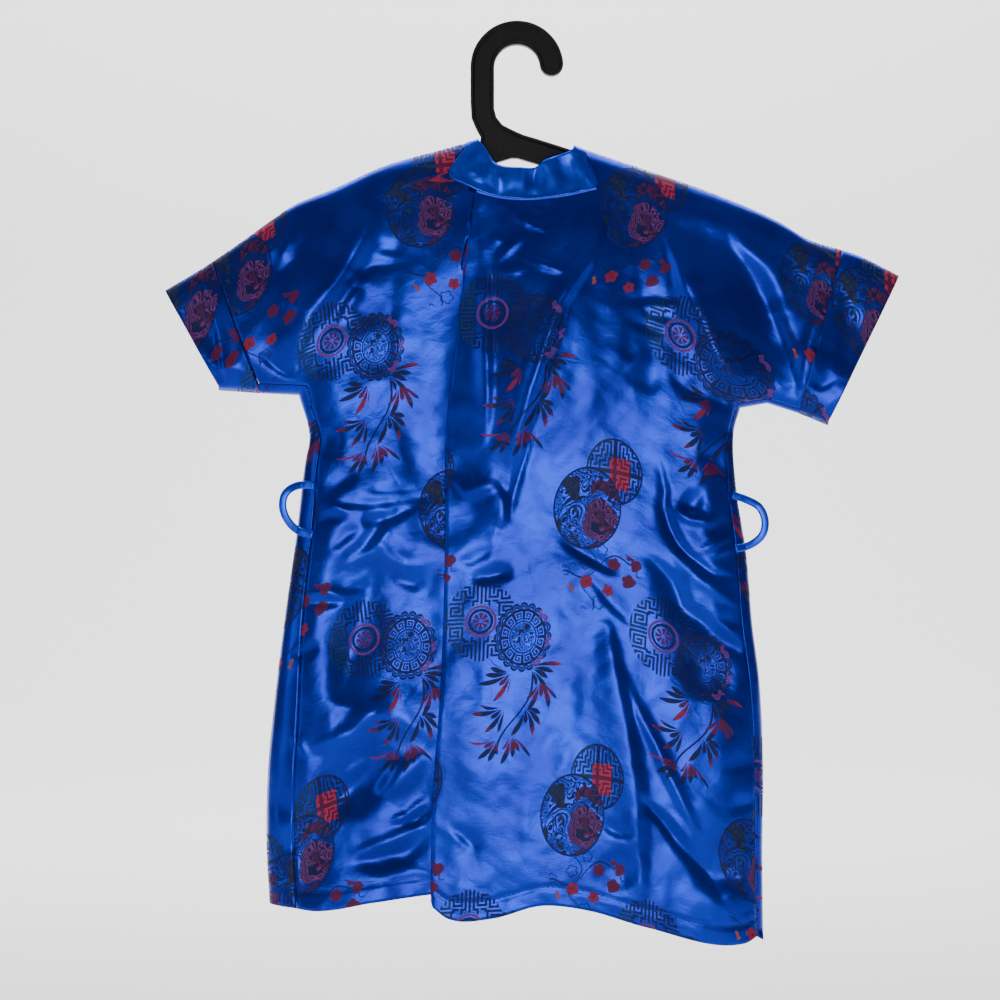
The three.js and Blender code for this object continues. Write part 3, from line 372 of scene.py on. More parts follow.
# %% How the cloth stands out
def crease_height(creases, x, z):
    """The sum of the creases' rises: height times e to the minus (distance / width) to the
    sharpness, where a crease also gets lower and narrower towards both its ends. A narrow hollow
    whose two widths are alike has its upper side let out, as cloth hangs slack above a fold.
    Sharpness 0 means a flat panel instead, which falls evenly from the line to its width."""
    out = np.zeros(np.shape(x))
    for _, height, plus, minus, sharp, points in creases:
        ends = np.array(points, float)
        if height < 0 and max(plus, minus) < min(ALIKE * min(plus, minus), NARROW):
            run = ends[-1] - ends[0]
            if run[0] > 0 or abs(run[0]) < 0.3 * abs(run[1]):
                plus *= LET_OUT
            else:
                minus *= LET_OUT
        reach = 3.2 * max(plus, minus)
        near = ((x > ends[:, 0].min() - reach) & (x < ends[:, 0].max() + reach)
                & (z > ends[:, 1].min() - reach) & (z < ends[:, 1].max() + reach))
        if not near.any():
            continue
        off, along, side = nearest(points, x[near], z[near])
        ends_in = np.sqrt(ease(along / 0.4) * ease((1 - along) / 0.4))
        wide = np.where(side > 0, plus, minus) * mix(0.5, 1, ends_in)
        soft = 0.3 * min(plus, minus) * mix(0.5, 1, ends_in)
        off = np.sqrt(off ** 2 + soft ** 2) - soft
        fade = mix(0.12, 1, ends_in)
        fall = ease(1 - off / wide) if sharp == 0 else np.exp(-(off / wide) ** sharp)
        out[near] += height * fade * fall
    return out


def ripple(x, z, seed, wave, count=14):
    """A soft uneven swell: the sum of some sine waves over the root of their number. Their
    lengths are near one size, and their directions and starts come from a seeded list."""
    some = np.random.default_rng(seed)
    total = np.zeros(np.shape(x))
    for turn, start, stretch in zip(some.uniform(0, np.pi, count),
                                    some.uniform(0, 2 * np.pi, count),
                                    some.uniform(0.6, 1.6, count)):
        k = 2 * np.pi / (wave * stretch)
        total += np.sin(k * (x * np.cos(turn) + z * np.sin(turn)) + start)
    return total / np.sqrt(count)


def edge_distance(x, z):
    """How far each place is from the nearer side's outline."""
    left, _, _ = nearest(LEFT.line, x, z)
    right, _, _ = nearest(RIGHT.line, x, z)
    return np.where(x < 0, left, right)


def base_depth(x, z, edge):
    """Half the depth of the flattened robe: a tube's rounding at the shoulder line and at the
    sides, and a little more towards the hem."""
    body = mix(BODY_DEPTH, HEM_DEPTH, clamp((z - WAIST_LEVEL) / (HEM_LEVEL - WAIST_LEVEL)))
    deep = mix(body, SLEEVE_DEPTH, ease((np.abs(x) - SLEEVE_FROM) / SLEEVE_BLEND))
    return deep * rounded(ridge(x) - z, TOP_ROUND) * rounded(edge, EDGE_ROUND)


def hem_valley(x, z):
    """The dip along the hem's stitches: e to the minus (distance / width) squared."""
    hem = np.where(x < fold_edge(z), hem_left(x), hem_right(x))
    return STITCH_DIP * np.exp(-((z - hem - HEM_TURN) / STITCH_DIP_WIDTH) ** 2)


def back_out(x, z):
    """How far out the back stands: the tube's depth, a little more away from the outline, and
    the creases and a slight swell, which die away at the outline so that the seams still meet."""
    edge = edge_distance(x, z)
    drop = ridge(x) - z
    calm = ease((drop - 3) / 30) * ease(edge / 14)
    lean = LEAN * ease((drop - 20) / 70) * ease(edge / 30)
    soft = 0.28 * ripple(x, z, 3, 46) + 0.12 * ripple(x, z, 5, 19)
    soft = soft + 0.34 * (0.6 - np.abs(ripple(x, z, 7, 52, 9))) - hem_valley(x, z)
    return base_depth(x, z, edge) + calm * (crease_height(CREASES, x, z) + soft) + lean


def front_out(x, z):
    """How far out the fronts stand, on the far side."""
    edge = edge_distance(x, z)
    drop = ridge(x) - z
    calm = ease((drop - 6) / 40) * ease(edge / 18)
    soft = 0.45 * ripple(x, z, 11, 60) + 0.2 * ripple(x, z, 13, 22)
    return base_depth(x, z, edge) + calm * (crease_height(FRONT_CREASES, x, z) + soft)


def surface(x, z, layer):
    """Points of the back or the fronts over places in the outline, as one array."""
    gap = SEAM / 2 + CLOTH / 2
    y = -np.maximum(back_out(x, z), gap) if layer == "back" else np.maximum(front_out(x, z), gap)
    return np.stack([x, y, z], axis=-1)


FRONT_CREASES = [  # the fronts are not seen from behind, and are pulled in the same ways
    ("left armpit", 4.5, 14, 6, 1.6, [(-96, -110), (-118, -160), (-146, -220)]),
    ("right armpit", 4.5, 6, 14, 1.6, [(102, -118), (124, -172), (150, -228)]),
    ("left chest", 2.6, 5, 8, 1.6, [(-60, -110), (-58, -170), (-78, -235)]),
    ("right chest", 2.4, 8, 5, 1.6, [(70, -118), (58, -190), (72, -260)]),
    ("left waist", -3.0, 4, 4, 1.6, [(-140, -322), (-104, -318), (-66, -330)]),
    ("left waist", -3.2, 3.4, 4.4, 1.6, [(-142, -332), (-112, -352), (-84, -382)]),
    ("left waist", 2.0, 3.4, 4.0, 1.6, [(-140, -340), (-116, -372), (-98, -408)]),
    ("right waist", -3.0, 4, 3.4, 1.6, [(144, -330), (108, -328), (70, -344)]),
    ("right waist", -2.8, 4.4, 3.4, 1.6, [(146, -342), (118, -368), (92, -402)]),
    ("right waist", 2.0, 3.4, 4.0, 1.6, [(144, -348), (122, -386), (108, -430)]),
    ("left skirt", 4.5, 16, 6, 1.6, [(-102, -380), (-108, -470), (-104, -594)]),
    ("left skirt", -3.4, 12, 8, 1.8, [(-60, -430), (-70, -510), (-66, -592)]),
    ("right skirt", 4.5, 5, 15, 1.6, [(96, -392), (104, -480), (108, -606)]),
    ("right skirt", -3.2, 9, 12, 1.8, [(62, -420), (60, -500), (74, -600)]),
    ("right skirt", 2.4, 5, 7, 1.8, [(128, -440), (136, -520), (130, -600)]),
    ("left front", 2.6, 9, 12, 1.8, [(-20, -350), (-12, -450), (-18, -590)]),
    ("middle dent", -1.6, 3, 4, 1.8, [(-34, -300), (-10, -312), (18, -306)]),
]
print(len(FRONT_CREASES), "creases on the fronts")

# %% [markdown]
# ## Sheets of cloth
# A sheet is a list of patches, each a grid of points, whose edges lie on each other point for
# point. They are joined into one surface, which is then given its thickness as a closed shell:
# a copy half the cloth's thickness out along the normals, one half in, and a rim between. The
# pattern woven into the cloth is placed by a UV map in millimetres of cloth, so that it runs
# into a fold, is hidden there, and comes out on the other side as real cloth does.


# %% From patches to a shell
def grid_faces(rows, columns):
    """The four corners of each cell of a grid, facing us where rows run down and columns right."""
    cell = np.arange(rows * columns).reshape(rows, columns)
    a, b, c, d = cell[:-1, :-1], cell[1:, :-1], cell[1:, 1:], cell[:-1, 1:]
    return np.stack([a, b, c, d], axis=-1).reshape(-1, 4)


def join(patches, maps):
    """One surface from patches of points and of cloth places: points nearer to each other than
    a hundredth of a millimetre become one, and cells that collapse become triangles or go."""
    points = np.concatenate([p.reshape(-1, 3) for p in patches])
    places = np.concatenate([m.reshape(-1, 2) for m in maps])
    starts = np.cumsum([0] + [p.shape[0] * p.shape[1] for p in patches])
    faces = np.concatenate([grid_faces(*p.shape[:2]) + s for p, s in zip(patches, starts)])
    _, first, number = np.unique(np.round(points, 2), axis=0, return_index=True,
                                 return_inverse=True)
    return points[first], places[first], number.reshape(-1)[faces]


def split_faces(quads):
    """The faces as triangles, without those that have no area."""
    tris = np.concatenate([quads[:, [0, 1, 2]], quads[:, [0, 2, 3]]])
    sound = (tris[:, 0] != tris[:, 1]) & (tris[:, 1] != tris[:, 2]) & (tris[:, 2] != tris[:, 0])
    return tris[sound]


def point_normals(points, tris):
    """The mean direction of the triangles round each point."""
    a, b, c = (points[tris[:, i]] for i in range(3))
    face = np.cross(b - a, c - a)
    face /= np.linalg.norm(face, axis=1, keepdims=True) + 1e-12
    normals = np.zeros_like(points)
    for corner in range(3):
        np.add.at(normals, tris[:, corner], face)
    return normals / (np.linalg.norm(normals, axis=1, keepdims=True) + 1e-12)


def new_object(name, points, faces, places=None, smooth=True):
    """An object in metres from points in millimetres, with the cloth places as its UV map."""
    mesh = bpy.data.meshes.new(name)
    mesh.from_pydata(np.asarray(points) / 1000, [], [tuple(f) for f in faces])
    if places is not None:
        loops = np.empty(len(mesh.loops), dtype=np.int32)
        mesh.loops.foreach_get("vertex_index", loops)
        layer = mesh.uv_layers.new(name="cloth")
        layer.data.foreach_set("uv", (np.asarray(places)[loops] / 100).astype(np.float32).ravel())
    mesh.polygons.foreach_set("use_smooth", np.full(len(mesh.polygons), smooth))
    mesh.update()
    thing = bpy.data.objects.new(name, mesh)
    bpy.context.collection.objects.link(thing)
    return thing


def boundary(quads):
    """The directed edges that only one face has."""
    edges = np.concatenate([quads[:, [i, (i + 1) % 4]] for i in range(4)])
    edges = edges[edges[:, 0] != edges[:, 1]]
    big = int(quads.max()) + 1
    keys, back = edges[:, 0] * big + edges[:, 1], edges[:, 1] * big + edges[:, 0]
    return edges[~np.isin(keys, back)]


def cloth(name, patches, maps, thick=CLOTH):
    """A closed shell of cloth on the joined patches. Returns the object and the area of the
    middle of its thickness in square metres."""
    points, places, quads = join(patches, maps)
    tris = split_faces(quads)
    normals = point_normals(points, tris)
    area = np.linalg.norm(np.cross(points[tris[:, 1]] - points[tris[:, 0]],
                                   points[tris[:, 2]] - points[tris[:, 0]]), axis=1).sum() / 2
    whole = (np.diff(np.sort(quads, axis=1), axis=1) > 0).all(axis=1)
    rim = boundary(quads)
    count = len(points)
    shell = np.concatenate([points + normals * thick / 2, points - normals * thick / 2])
    odd = split_faces(quads[~whole])
    faces = quads[whole].tolist() + odd.tolist()
    faces += (quads[whole][:, ::-1] + count).tolist() + (odd[:, ::-1] + count).tolist()
    faces += np.stack([rim[:, 0] + count, rim[:, 1] + count, rim[:, 1], rim[:, 0]], 1).tolist()
    thing = new_object(name, shell, faces, np.concatenate([places, places]))
    print(f"{name}: {len(faces)} faces, {area / 1e6:.4f} m2 of cloth, {len(rim)} edges on its rim")
    return thing, area / 1e6


# %% [markdown]
# ## Where the woven pattern lies
# On the flat cloth the pattern repeats every 131 mm across and 213.5 mm down. On the robe it
# drops towards the sleeves, because the cloth hangs from the sloping shoulders, and it leans
# towards the deep fold, because more cloth is hidden in the fold lower down.

# %% Cloth places
REPEAT = (131.0, 213.5)
DROOP = reader([(-260, 74), (-192, 50), (-129, 19), (-106, 13), (-64, 3), (-17, 0), (58, 0),
                (86, 6), (119, 17), (160, 30), (206, 57), (261, 87)])


def cloth_across_right(x, z):
    """Millimetres of cloth across, right of the deep fold: 0 at the middle of a motif column,
    which leans left by 8.2 mm in 212. The rest shifts the pattern as the cloth is drawn: under
    the neck, on the sleeve and low on the skirt."""
    middle = -17 - 8.2 * (-189 - z) / 212
    high = -24 * ease((z + 190) / 70) * ease((x + 10) / 60)
    sleeve = -18 * ease((x - 125) / 60) * ease((z + 300) / 60) * (1 - ease((z + 190) / 70))
    low = 7 * clamp((-300 - z) / 200) * clamp(x / 100)
    return x - middle + high + sleeve + low


def cloth_across_left(x, z):
    """The same left of the fold: one repeat back, less the cloth that the fold hides."""
    return x + 128.8 - 22.4 * (-208.6 - z) / 207.9 - REPEAT[0]


def cloth_down(x, z):
    """Millimetres of cloth down, as the height less the droop, 0 at the middle of a motif."""
    return -189 - z - DROOP(x)


# %% [markdown]
# ## The back
# The back is one piece with its sleeves. Down its middle runs a deep fold: the right part lies
# over the left one, and between them is a hidden layer that gets wider towards the hem. Such a
# fold is easy to get as an S-shaped section: straight, a half turn one way, straight, a half turn
# the other way, straight. Each row of the grid is that section at one height.

# %% The deep fold
def fold_radius(z):
    """The radius of the fold's turns, which shrinks to almost nothing towards the neck."""
    return FOLD_RADIUS * mix(0.06, 1, ease((-125 - z) / 110))


def fold_section(z):
    """At each height: the angle of the two turns, the straight between them, and where the two
    visible layers start. Above the fold the turns open out to a slight bend of 0.26 radians."""
    closing = clamp((FOLD_TOP - z) / (FOLD_TOP - FOLD_CLOSED))
    turn = mix(0.26, np.pi, ease(closing))
    lapped = clamp((FOLD_CLOSED - z) / (FOLD_CLOSED - HEM_LEVEL))
    early = FOLD_OVERLAP_TOP * ease((closing - 0.8) / 0.2)
    r = fold_radius(z)
    opened = 2 * r / np.tan(turn / 2) + early
    straight = np.where(closing < 1, opened, mix(FOLD_OVERLAP_TOP, FOLD_OVERLAP_HEM, lapped))
    right = fold_edge(z) + r
    left = right - 2 * r * np.sin(turn) - straight * np.cos(turn)
    return turn, straight, left, right


def tucked_in(x, z):
    """How far the left layer lies behind the top one: four radii of the turns under the fold's
    edge, and nothing 45 mm to the left of it."""
    return 4 * fold_radius(z) * ease((x - fold_edge(z) + 45) / 40)


def side_limit(side, z, inset):
    """The back's or a front's limit at a height: down the armhole, then down the side."""
    arm = side.top_x(0)
    deep = inset(side.corner[1])
    corner_x, corner_z = side.corner[0] - side.sign * deep, side.corner[1] + deep
    armhole = mix(arm, corner_x, (ridge(arm) - z) / (ridge(arm) - corner_z))
    below = side.side(z) - side.sign * inset(z)
    at_corner = side.side(corner_z) - side.sign * inset(corner_z)
    eased = below + (corner_x - at_corner) * clamp(1 - (corner_z - z) / 15)
    return np.where(z >= corner_z, armhole, eased)


LEFT_ZONE, TURN_ONE, HIDDEN, TURN_TWO, RIGHT_ZONE = range(5)
NECK_PART_LEFT, NECK_PART_RIGHT = 0.944, 0.469


def back_columns():
    """The zone of each column of the back, and how far through its zone it is."""
    def spread(start, end, count):
        return np.linspace(start, end, count, endpoint=False)
    zones = [(LEFT_ZONE, spread(0, NECK_PART_LEFT, 50)),
             (LEFT_ZONE, spread(NECK_PART_LEFT, 1, 3)),
             (TURN_ONE, spread(0, 1, 5)), (HIDDEN, spread(0, 1, 10)),
             (TURN_TWO, spread(0, 1, 5)),
             (RIGHT_ZONE, spread(0, NECK_PART_RIGHT, 46)),
             (RIGHT_ZONE, np.append(spread(NECK_PART_RIGHT, 1, 50), 1.0))]
    zone = np.concatenate([np.full(len(part), kind) for kind, part in zones])
    return zone, np.concatenate([part for _, part in zones])


def fold_place(zone, part, z, left_end, right_end):
    """Where a column lies at a height: its X, how far behind the top layer it is, and its place
    in the cloth. A turn is an arc of the fold's radius, and a straight joins the two turns."""
    turn, straight, left, right = fold_section(z)
    r = fold_radius(z)
    one, two = turn * part, turn * (1 - part)
    x1, y1 = left + r * np.sin(one), 3 * r + r * np.cos(one)
    x2, y2 = right - r * np.sin(two), r - r * np.cos(two)
    xa, ya = left + r * np.sin(turn), 3 * r + r * np.cos(turn)
    xb, yb = right - r * np.sin(turn), r - r * np.cos(turn)
    on_left = mix(left_end, left, part)
    x = np.choose(zone, [on_left, x1, mix(xa, xb, part), x2, mix(right, right_end, part)])
    behind = np.choose(zone, [tucked_in(on_left, z), y1, mix(ya, yb, part), y2, 0 * z])
    start, end = cloth_across_left(left, z), cloth_across_right(right, z)
    whole = straight + 2 * r * turn
    run = np.choose(zone, [0 * z, r * one, r * turn + straight * part,
                           r * turn + straight + r * turn * part, whole]) / whole
    across = np.where(zone == LEFT_ZONE, cloth_across_left(x, z),
                      np.where(zone == RIGHT_ZONE, cloth_across_right(x, z),
                               mix(start, end, run)))
    return x, behind, across


# %% Rows and columns of the back
# rows over the shoulder, as depths below its line, then shares of the way to the underarm and on
TURN_DROPS = np.array([0, 0.3, 0.9, 1.8, 3, 4.6, 6.4, 8.4, 10.6, 13, 15.6, 18.4, 21.2, 24])
LOW_ROWS = np.linspace(0, 1, 57)[1:]
SKIRT_ROWS = np.linspace(0, 1, 172)[1:]


def with_depth(x, z, behind=0.0):
    """Points of the back at these places, as far behind its top layer as asked."""
    points = surface(x, z, "back")
    points[..., 1] += behind
    return points


def sleeve_column(side, at, inset, layer, drops=TURN_DROPS, low=LOW_ROWS):
    """Columns of a sleeve, from the ridge down to a lower edge that lies in from the outline."""
    top, under = side.top_x(at), side.under_x(at)
    length = np.hypot(top - under, ridge(top) - side.under(under))
    turned = drops[:, None] / length
    parts = np.concatenate([turned, mix(turned[-1], 1, low[:, None])])
    foot = under - side.sign * inset * (1 - clamp(at / 0.5))
    x = mix(top, foot, parts)
    z = mix(ridge(top), side.under(under) + inset, parts)
    return surface(x, z, layer)


def make_back():
    """The back's patches: the body, the two shoulders over the ridge, and the two sleeves."""
    zone, part = back_columns()
    last = TURN_DROPS[-1]

    def place(z):
        return fold_place(zone, part, z, side_limit(LEFT, z, LEFT.wrap),
                          side_limit(RIGHT, z, RIGHT.wrap))

    ones = np.ones(len(zone))
    is_left = zone == LEFT_ZONE
    near = np.where(is_left, part / NECK_PART_LEFT, (1 - part) / (1 - NECK_PART_RIGHT))
    shoulder = ((zone == LEFT_ZONE) | (zone == RIGHT_ZONE)) & (near < 1.0001)

    # over the shoulders
    corner = np.where(is_left[:, None], NECK[0], NECK[-1])
    neck_top = np.where(is_left, *NECK_ENDS)
    drops = TURN_DROPS[:, None]
    neck_x = mix(neck_top, corner[:, 0], drops / last)
    arm_z = np.where(is_left, ridge(LEFT.top_x(0)), ridge(RIGHT.top_x(0))) - drops
    arm_x = np.where(is_left, side_limit(LEFT, arm_z, LEFT.wrap),
                     side_limit(RIGHT, arm_z, RIGHT.wrap))
    top_x = mix(arm_x, neck_x, near)
    fall = mix(1, (ridge(corner[:, 0]) - corner[:, 1]) / last, near)
    top_z = ridge(top_x) - drops * fall

    # under the neck, and down to the underarm and the hem
    neck_start = neck_z(place(corner[:, 1])[0])
    first = np.where(shoulder, top_z[-1], neck_start)
    level = LEFT.corner[1] * ones
    ends = side_limit(LEFT, level, LEFT.wrap), side_limit(RIGHT, level, RIGHT.wrap)
    across = clamp((place(level)[0] - ends[0]) / (ends[1] - ends[0]))
    under = mix(LEFT.corner[1] + LEFT.wrap(LEFT.corner[1]),
                RIGHT.corner[1] + RIGHT.wrap(RIGHT.corner[1]), across)
    hem_x = place(HEM_LEVEL * ones)[0]
    edge = fold_edge(HEM_LEVEL)
    low_left, low_right = hem_left(np.minimum(hem_x, edge)), hem_right(hem_x)
    tuck = np.where(zone == TURN_TWO, part, 0.0)
    tucked = mix(hem_left(np.minimum(hem_x, edge)) + 1.5 * np.sin(np.pi * part * (zone == HIDDEN)),
                 hem_right(edge), tuck)
    low = np.where(is_left, low_left, np.where(zone == RIGHT_ZONE, low_right, tucked))
    z = np.concatenate([first[None], mix(first, under, LOW_ROWS[:, None]),
                        mix(under, low, SKIRT_ROWS[:, None])])
    x, behind, cloth_x = place(z)
    x[0] = np.where(shoulder, top_x[-1], x[0])
    body = with_depth(x, z, behind)
    body_map = np.stack([cloth_x, -cloth_down(x, z)], axis=-1)

    # the armholes, where the sleeves start
    arm = 1 + len(LOW_ROWS)
    for column, side in ((0, LEFT), (-1, RIGHT)):
        inset = side.wrap(side.corner[1])
        whole = sleeve_column(side, np.array([0.0]), inset, "back")[:, 0]
        body[:arm, column] = whole[len(TURN_DROPS) - 1:]
    patches, maps = [body], [body_map]

    for side, keep in ((LEFT, shoulder & is_left), (RIGHT, shoulder & ~is_left)):
        points = with_depth(top_x[:, keep], top_z[:, keep])
        arm_edge = 0 if side.sign < 0 else -1
        inset = side.wrap(side.corner[1])
        whole = sleeve_column(side, np.array([0.0]), inset, "back")[:, 0]
        points[:, arm_edge] = whole[:len(TURN_DROPS)]
        points[-1] = body[0, keep]
        patches.append(points)
        maps.append(map_of(points, side))
        at = np.linspace(0, 1, 33)
        sleeve = sleeve_column(side, at if side.sign > 0 else at[::-1], inset, "back")
        patches.append(sleeve)
        maps.append(map_of(sleeve, side))
    return patches, maps


def map_of(points, side):
    """The cloth places of points that lie on the back's visible layers."""
    x, z = points[..., 0], points[..., 2]
    across = cloth_across_left(x, z) if side.sign < 0 else cloth_across_right(x, z)
    return np.stack([across, -cloth_down(x, z)], axis=-1)


back, back_area = cloth("back_cloth", *make_back())
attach(back, "root")
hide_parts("back")

# %% [markdown]
# ## The fronts
# Each front is the mirror of half the back, with a sloping edge where the neck band is sewn on.
# It turns round the side and ends at a seam that shows on the back. The left front lies outside
# the right one, as a kimono is worn.

# %% The fronts
FRONT_INSET, LAP, CROSSING, FRONT_HEM = 10.0, 2.6, -330.0, -588.0
FRONT_EDGES = {"left": (NECK_ENDS[0], -68.0, 50.0),  # X and Z at the neck, X at the hem
               "right": (NECK_ENDS[1], -73.0, -45.0)}
TURN_PARTS = (0.35, 0.6, 0.78, 0.9, 0.97, 1.0)
STRIP_PARTS = (0.12, 0.3, 0.5, 0.7, 0.86)
SEAM_SHORT = 0.2  # how far the strip ends before the seam


def front_edge_x(name, z):
    """The seam of the neck band: sloping down to the crossing, then upright."""
    neck_x, neck_top, low_x = FRONT_EDGES[name]
    return mix(neck_x, low_x, clamp((neck_top - z) / (neck_top - CROSSING)))


def front_points(name, x, z):
    """Points of a front, where the outer one stands off the inner one that it covers."""
    points = surface(x, z, "front")
    if name == "left":
        points[..., 1] += LAP * ease((x + 105) / 28) * ease((ridge(x) - z - 5) / 20)
    return points


def front_map(side, points):
    """Cloth places on a front: across from its own seam, and down as on the back."""
    x, z = points[..., 0], points[..., 2]
    return np.stack([38 - x * 0.99, -cloth_down(x, z) + (20 if side.sign < 0 else 74)], axis=-1)


def facing(side, grid):
    """A front is seen from the other side, so the left one's columns run the other way."""
    return grid[:, ::-1] if side.sign < 0 else grid


def cross_strip(inner, outer_x, outer_z, seam_x, seam_z):
    """Columns across the strip that turns round the garment's edge, one for each row."""
    out = []
    for part in TURN_PARTS:
        out.append(surface(mix(inner[:, 0], outer_x, part), mix(inner[:, 2], outer_z, part),
                           "front"))
    out[-1][:, 1] = 0.0
    wide = np.hypot(seam_x - outer_x, seam_z - outer_z)
    for part in (*STRIP_PARTS, 1 - SEAM_SHORT / wide):
        out.append(surface(mix(outer_x, seam_x, part), mix(outer_z, seam_z, part), "back"))
    return np.stack([inner] + out, axis=1)


def make_front(side):
    """A front's patches: its body, its sleeve, and the strip that turns round to the back."""
    neck_x, neck_top, low_x = FRONT_EDGES[side.name]

    def flat(z):
        return FRONT_INSET + 0 * z

    part = np.linspace(0, 1, 78)
    drops = TURN_DROPS[:, None]
    arm_ridge = ridge(side.top_x(0))
    x = mix(side.top_x(0), front_edge_x(side.name, neck_top - drops), part)
    z = mix(arm_ridge, neck_top, part) - drops
    z = z + ridge(mix(side.top_x(0), neck_x, part)) - mix(arm_ridge, neck_top, part)
    last = z[-1]
    under = side.corner[1] + FRONT_INSET
    low_z = mix(last, under, np.linspace(0, 1, 47)[1:, None])
    low_x_at = mix(side_limit(side, low_z, flat), front_edge_x(side.name, low_z), part)
    hem_x = mix(side_limit(side, HEM_LEVEL + 0 * part, flat), low_x, part)
    hem = mix(hem_left(hem_x) if side.sign < 0 else hem_right(hem_x), FRONT_HEM, part)
    skirt_z = mix(under, hem, np.linspace(0, 1, 141)[1:, None])
    skirt_x = mix(side_limit(side, skirt_z, flat), front_edge_x(side.name, skirt_z), part)
    x = np.concatenate([x, low_x_at, skirt_x])
    z = np.concatenate([z, low_z, skirt_z])
    body = front_points(side.name, x, z)

    low = np.linspace(0, 1, 47)[1:]
    at = np.linspace(1, 0, 28)
    sleeve = sleeve_column(side, at, FRONT_INSET, "front", low=low)
    body[:sleeve.shape[0], 0] = sleeve[:, -1]

    deep = side.wrap(side.corner[1])
    inner = sleeve[-1]
    under_x = side.under_x(at)
    seam = sleeve_column(side, at, deep, "back", low=low)[-1]
    strip_a = cross_strip(inner, under_x, side.under(under_x), seam[:, 0], seam[:, 2])
    inner = body[sleeve.shape[0] - 1:, 0]
    run = np.linspace(0, 1, len(inner))
    outer_z = mix(side.corner[1], inner[-1, 2], run)
    level = np.array([HEM_LEVEL])
    hem_seam_x = side_limit(side, level, side.wrap)
    hem_seam = (hem_left(hem_seam_x) if side.sign < 0 else hem_right(hem_seam_x))[0]
    seam_z = mix(side.corner[1] + deep, hem_seam, run)
    strip_b = cross_strip(inner, side.side(outer_z), outer_z,
                          side_limit(side, seam_z, side.wrap), seam_z)
    strip = np.concatenate([strip_a[:-1], strip_b])
    grids = [facing(side, body), facing(side, sleeve),
             facing(side, strip.transpose(1, 0, 2))]
    return grids, [front_map(side, grid) for grid in grids]


fronts = {}
for side in (LEFT, RIGHT):
    fronts[side.name] = cloth(f"front_{side.name}_cloth", *make_front(side))
    piece = fronts[side.name][0]
    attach(piece, "root")
    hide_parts(f"front_{side.name}", f"front_sleeve_{side.name}")

# %% [markdown]
# ## The sleeve ends
# A short tube is sewn on to each sleeve. It is the same flattened section as the sleeve, carried
# on to the cuff, so its rings are one column of the back joined to one of the front.


# %% The sleeve ends
SLEEVE_END_START = 1.003  # just past the sleeve, so that the two cloths don't touch
SLEEVE_END_INSET = 3.0


def make_sleeve_end(side, shift):
    """Rings of the tube, from its seam to the cuff. Each ring runs from the ridge down the back
    to the lower edge and up the front again, with the ridge's and the edge's own points at y=0."""
    at = np.linspace(1.0, 2.0, 27)
    at[0] = SLEEVE_END_START
    at = at[::-1] if side.sign > 0 else at
    low = np.linspace(0, 1, 52)[1:]
    down, up = (sleeve_column(side, at, SLEEVE_END_INSET, layer, TURN_DROPS[1:], low)
                for layer in ("back", "front"))
    top_x, under_x = side.top_x(at), side.under_x(at)
    top = np.stack([top_x, 0 * at, ridge(top_x)], axis=-1)[None]
    foot = np.stack([under_x, 0 * at, side.under(under_x)], axis=-1)[None]
    grid = np.concatenate([top, down, foot, up[::-1], top])
    run = np.linalg.norm(np.diff(grid, axis=0), axis=-1).cumsum(axis=0)
    run = np.concatenate([run[:1] * 0, run])
    across = grid[..., 0] * 1.02 + shift[0]
    return [grid[:, ::-1]], [np.stack([across, shift[1] - run], axis=-1)[:, ::-1]]


sleeve_ends = {}
for side, shift in ((LEFT, (306, -112)), (RIGHT, (-176, -96))):
    piece, area = cloth(f"sleeve_end_{side.name}_cloth", *make_sleeve_end(side, shift))
    sleeve_ends[side.name] = piece, area
    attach(piece, "root")
    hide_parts(f"sleeve_end_{side.name}")

# %% [markdown]
# ## The neck band
# The band is one long strip of two layers: up the edge of one front, round the back of the neck,
# and down the other front. A grid, eleven points across, runs from its seam to its free edge.
# Round the neck it is pressed into a few sharp folds by the hanger.

# %% The neck band
BAND_CLOTH, BAND_WIDTH = 1.5, 25.0
BAND_BACK = np.array([  # seam X, Z, Y, then the free edge's X, Z, Y
    (-33, -68, -1.6, -27.4, -66.9, -1.6), (-34.5, -69.7, -6.8, -26.6, -68, -6.6),
    (-38, -76, -9.6, -23, -72.5, -7.6), (-48, -92, -13.0, -19, -78.5, -8.2),
    (-36, -99.5, -13.6, -16, -83.5, -8.4), (-18, -106.5, -12.4, -10, -86.3, -8.4),
    (3, -109.3, -12.0, 2, -87, -8.4), (17, -108.7, -12.0, 12, -87, -8.4),
    (31, -107, -11.9, 19, -82, -8.4), (44, -104.5, -11.6, 27, -79, -8.2),
    (56, -101, -11.0, 34, -76.5, -8), (51, -86, -8.6, 39, -73.5, -7.6),
    (47, -75.8, -6.8, 39.4, -71.8, -6.6), (46, -73.2, -1.6, 39.5, -71, -1.6)])
BAND_FOLDS = [  # as the creases of the back
    ("left fold", 2.2, 5, 2.4, 1.6, [(-20, -80), (-13, -92), (-11, -105)]),
    ("middle fold", -1.6, 1.6, 1.6, 1.8, [(8, -88), (8, -98), (7, -107)]),
    ("middle fold", -2.6, 2.2, 3.0, 1.8, [(13, -84), (12.5, -96), (13, -107)]),
    ("right hollow", -2.8, 5, 5, 2, [(29, -79), (34, -90), (41, -102)]),
    ("left crease", 1.2, 2, 2, 1.8, [(-36, -86), (-28, -91), (-22, -98)]),
    ("left crease", -1.0, 2, 2, 2, [(-31, -80), (-26, -86), (-24, -94)]),
    ("right crease", 1.4, 2.4, 2.4, 1.8, [(39, -80), (44, -88), (51, -98)])]


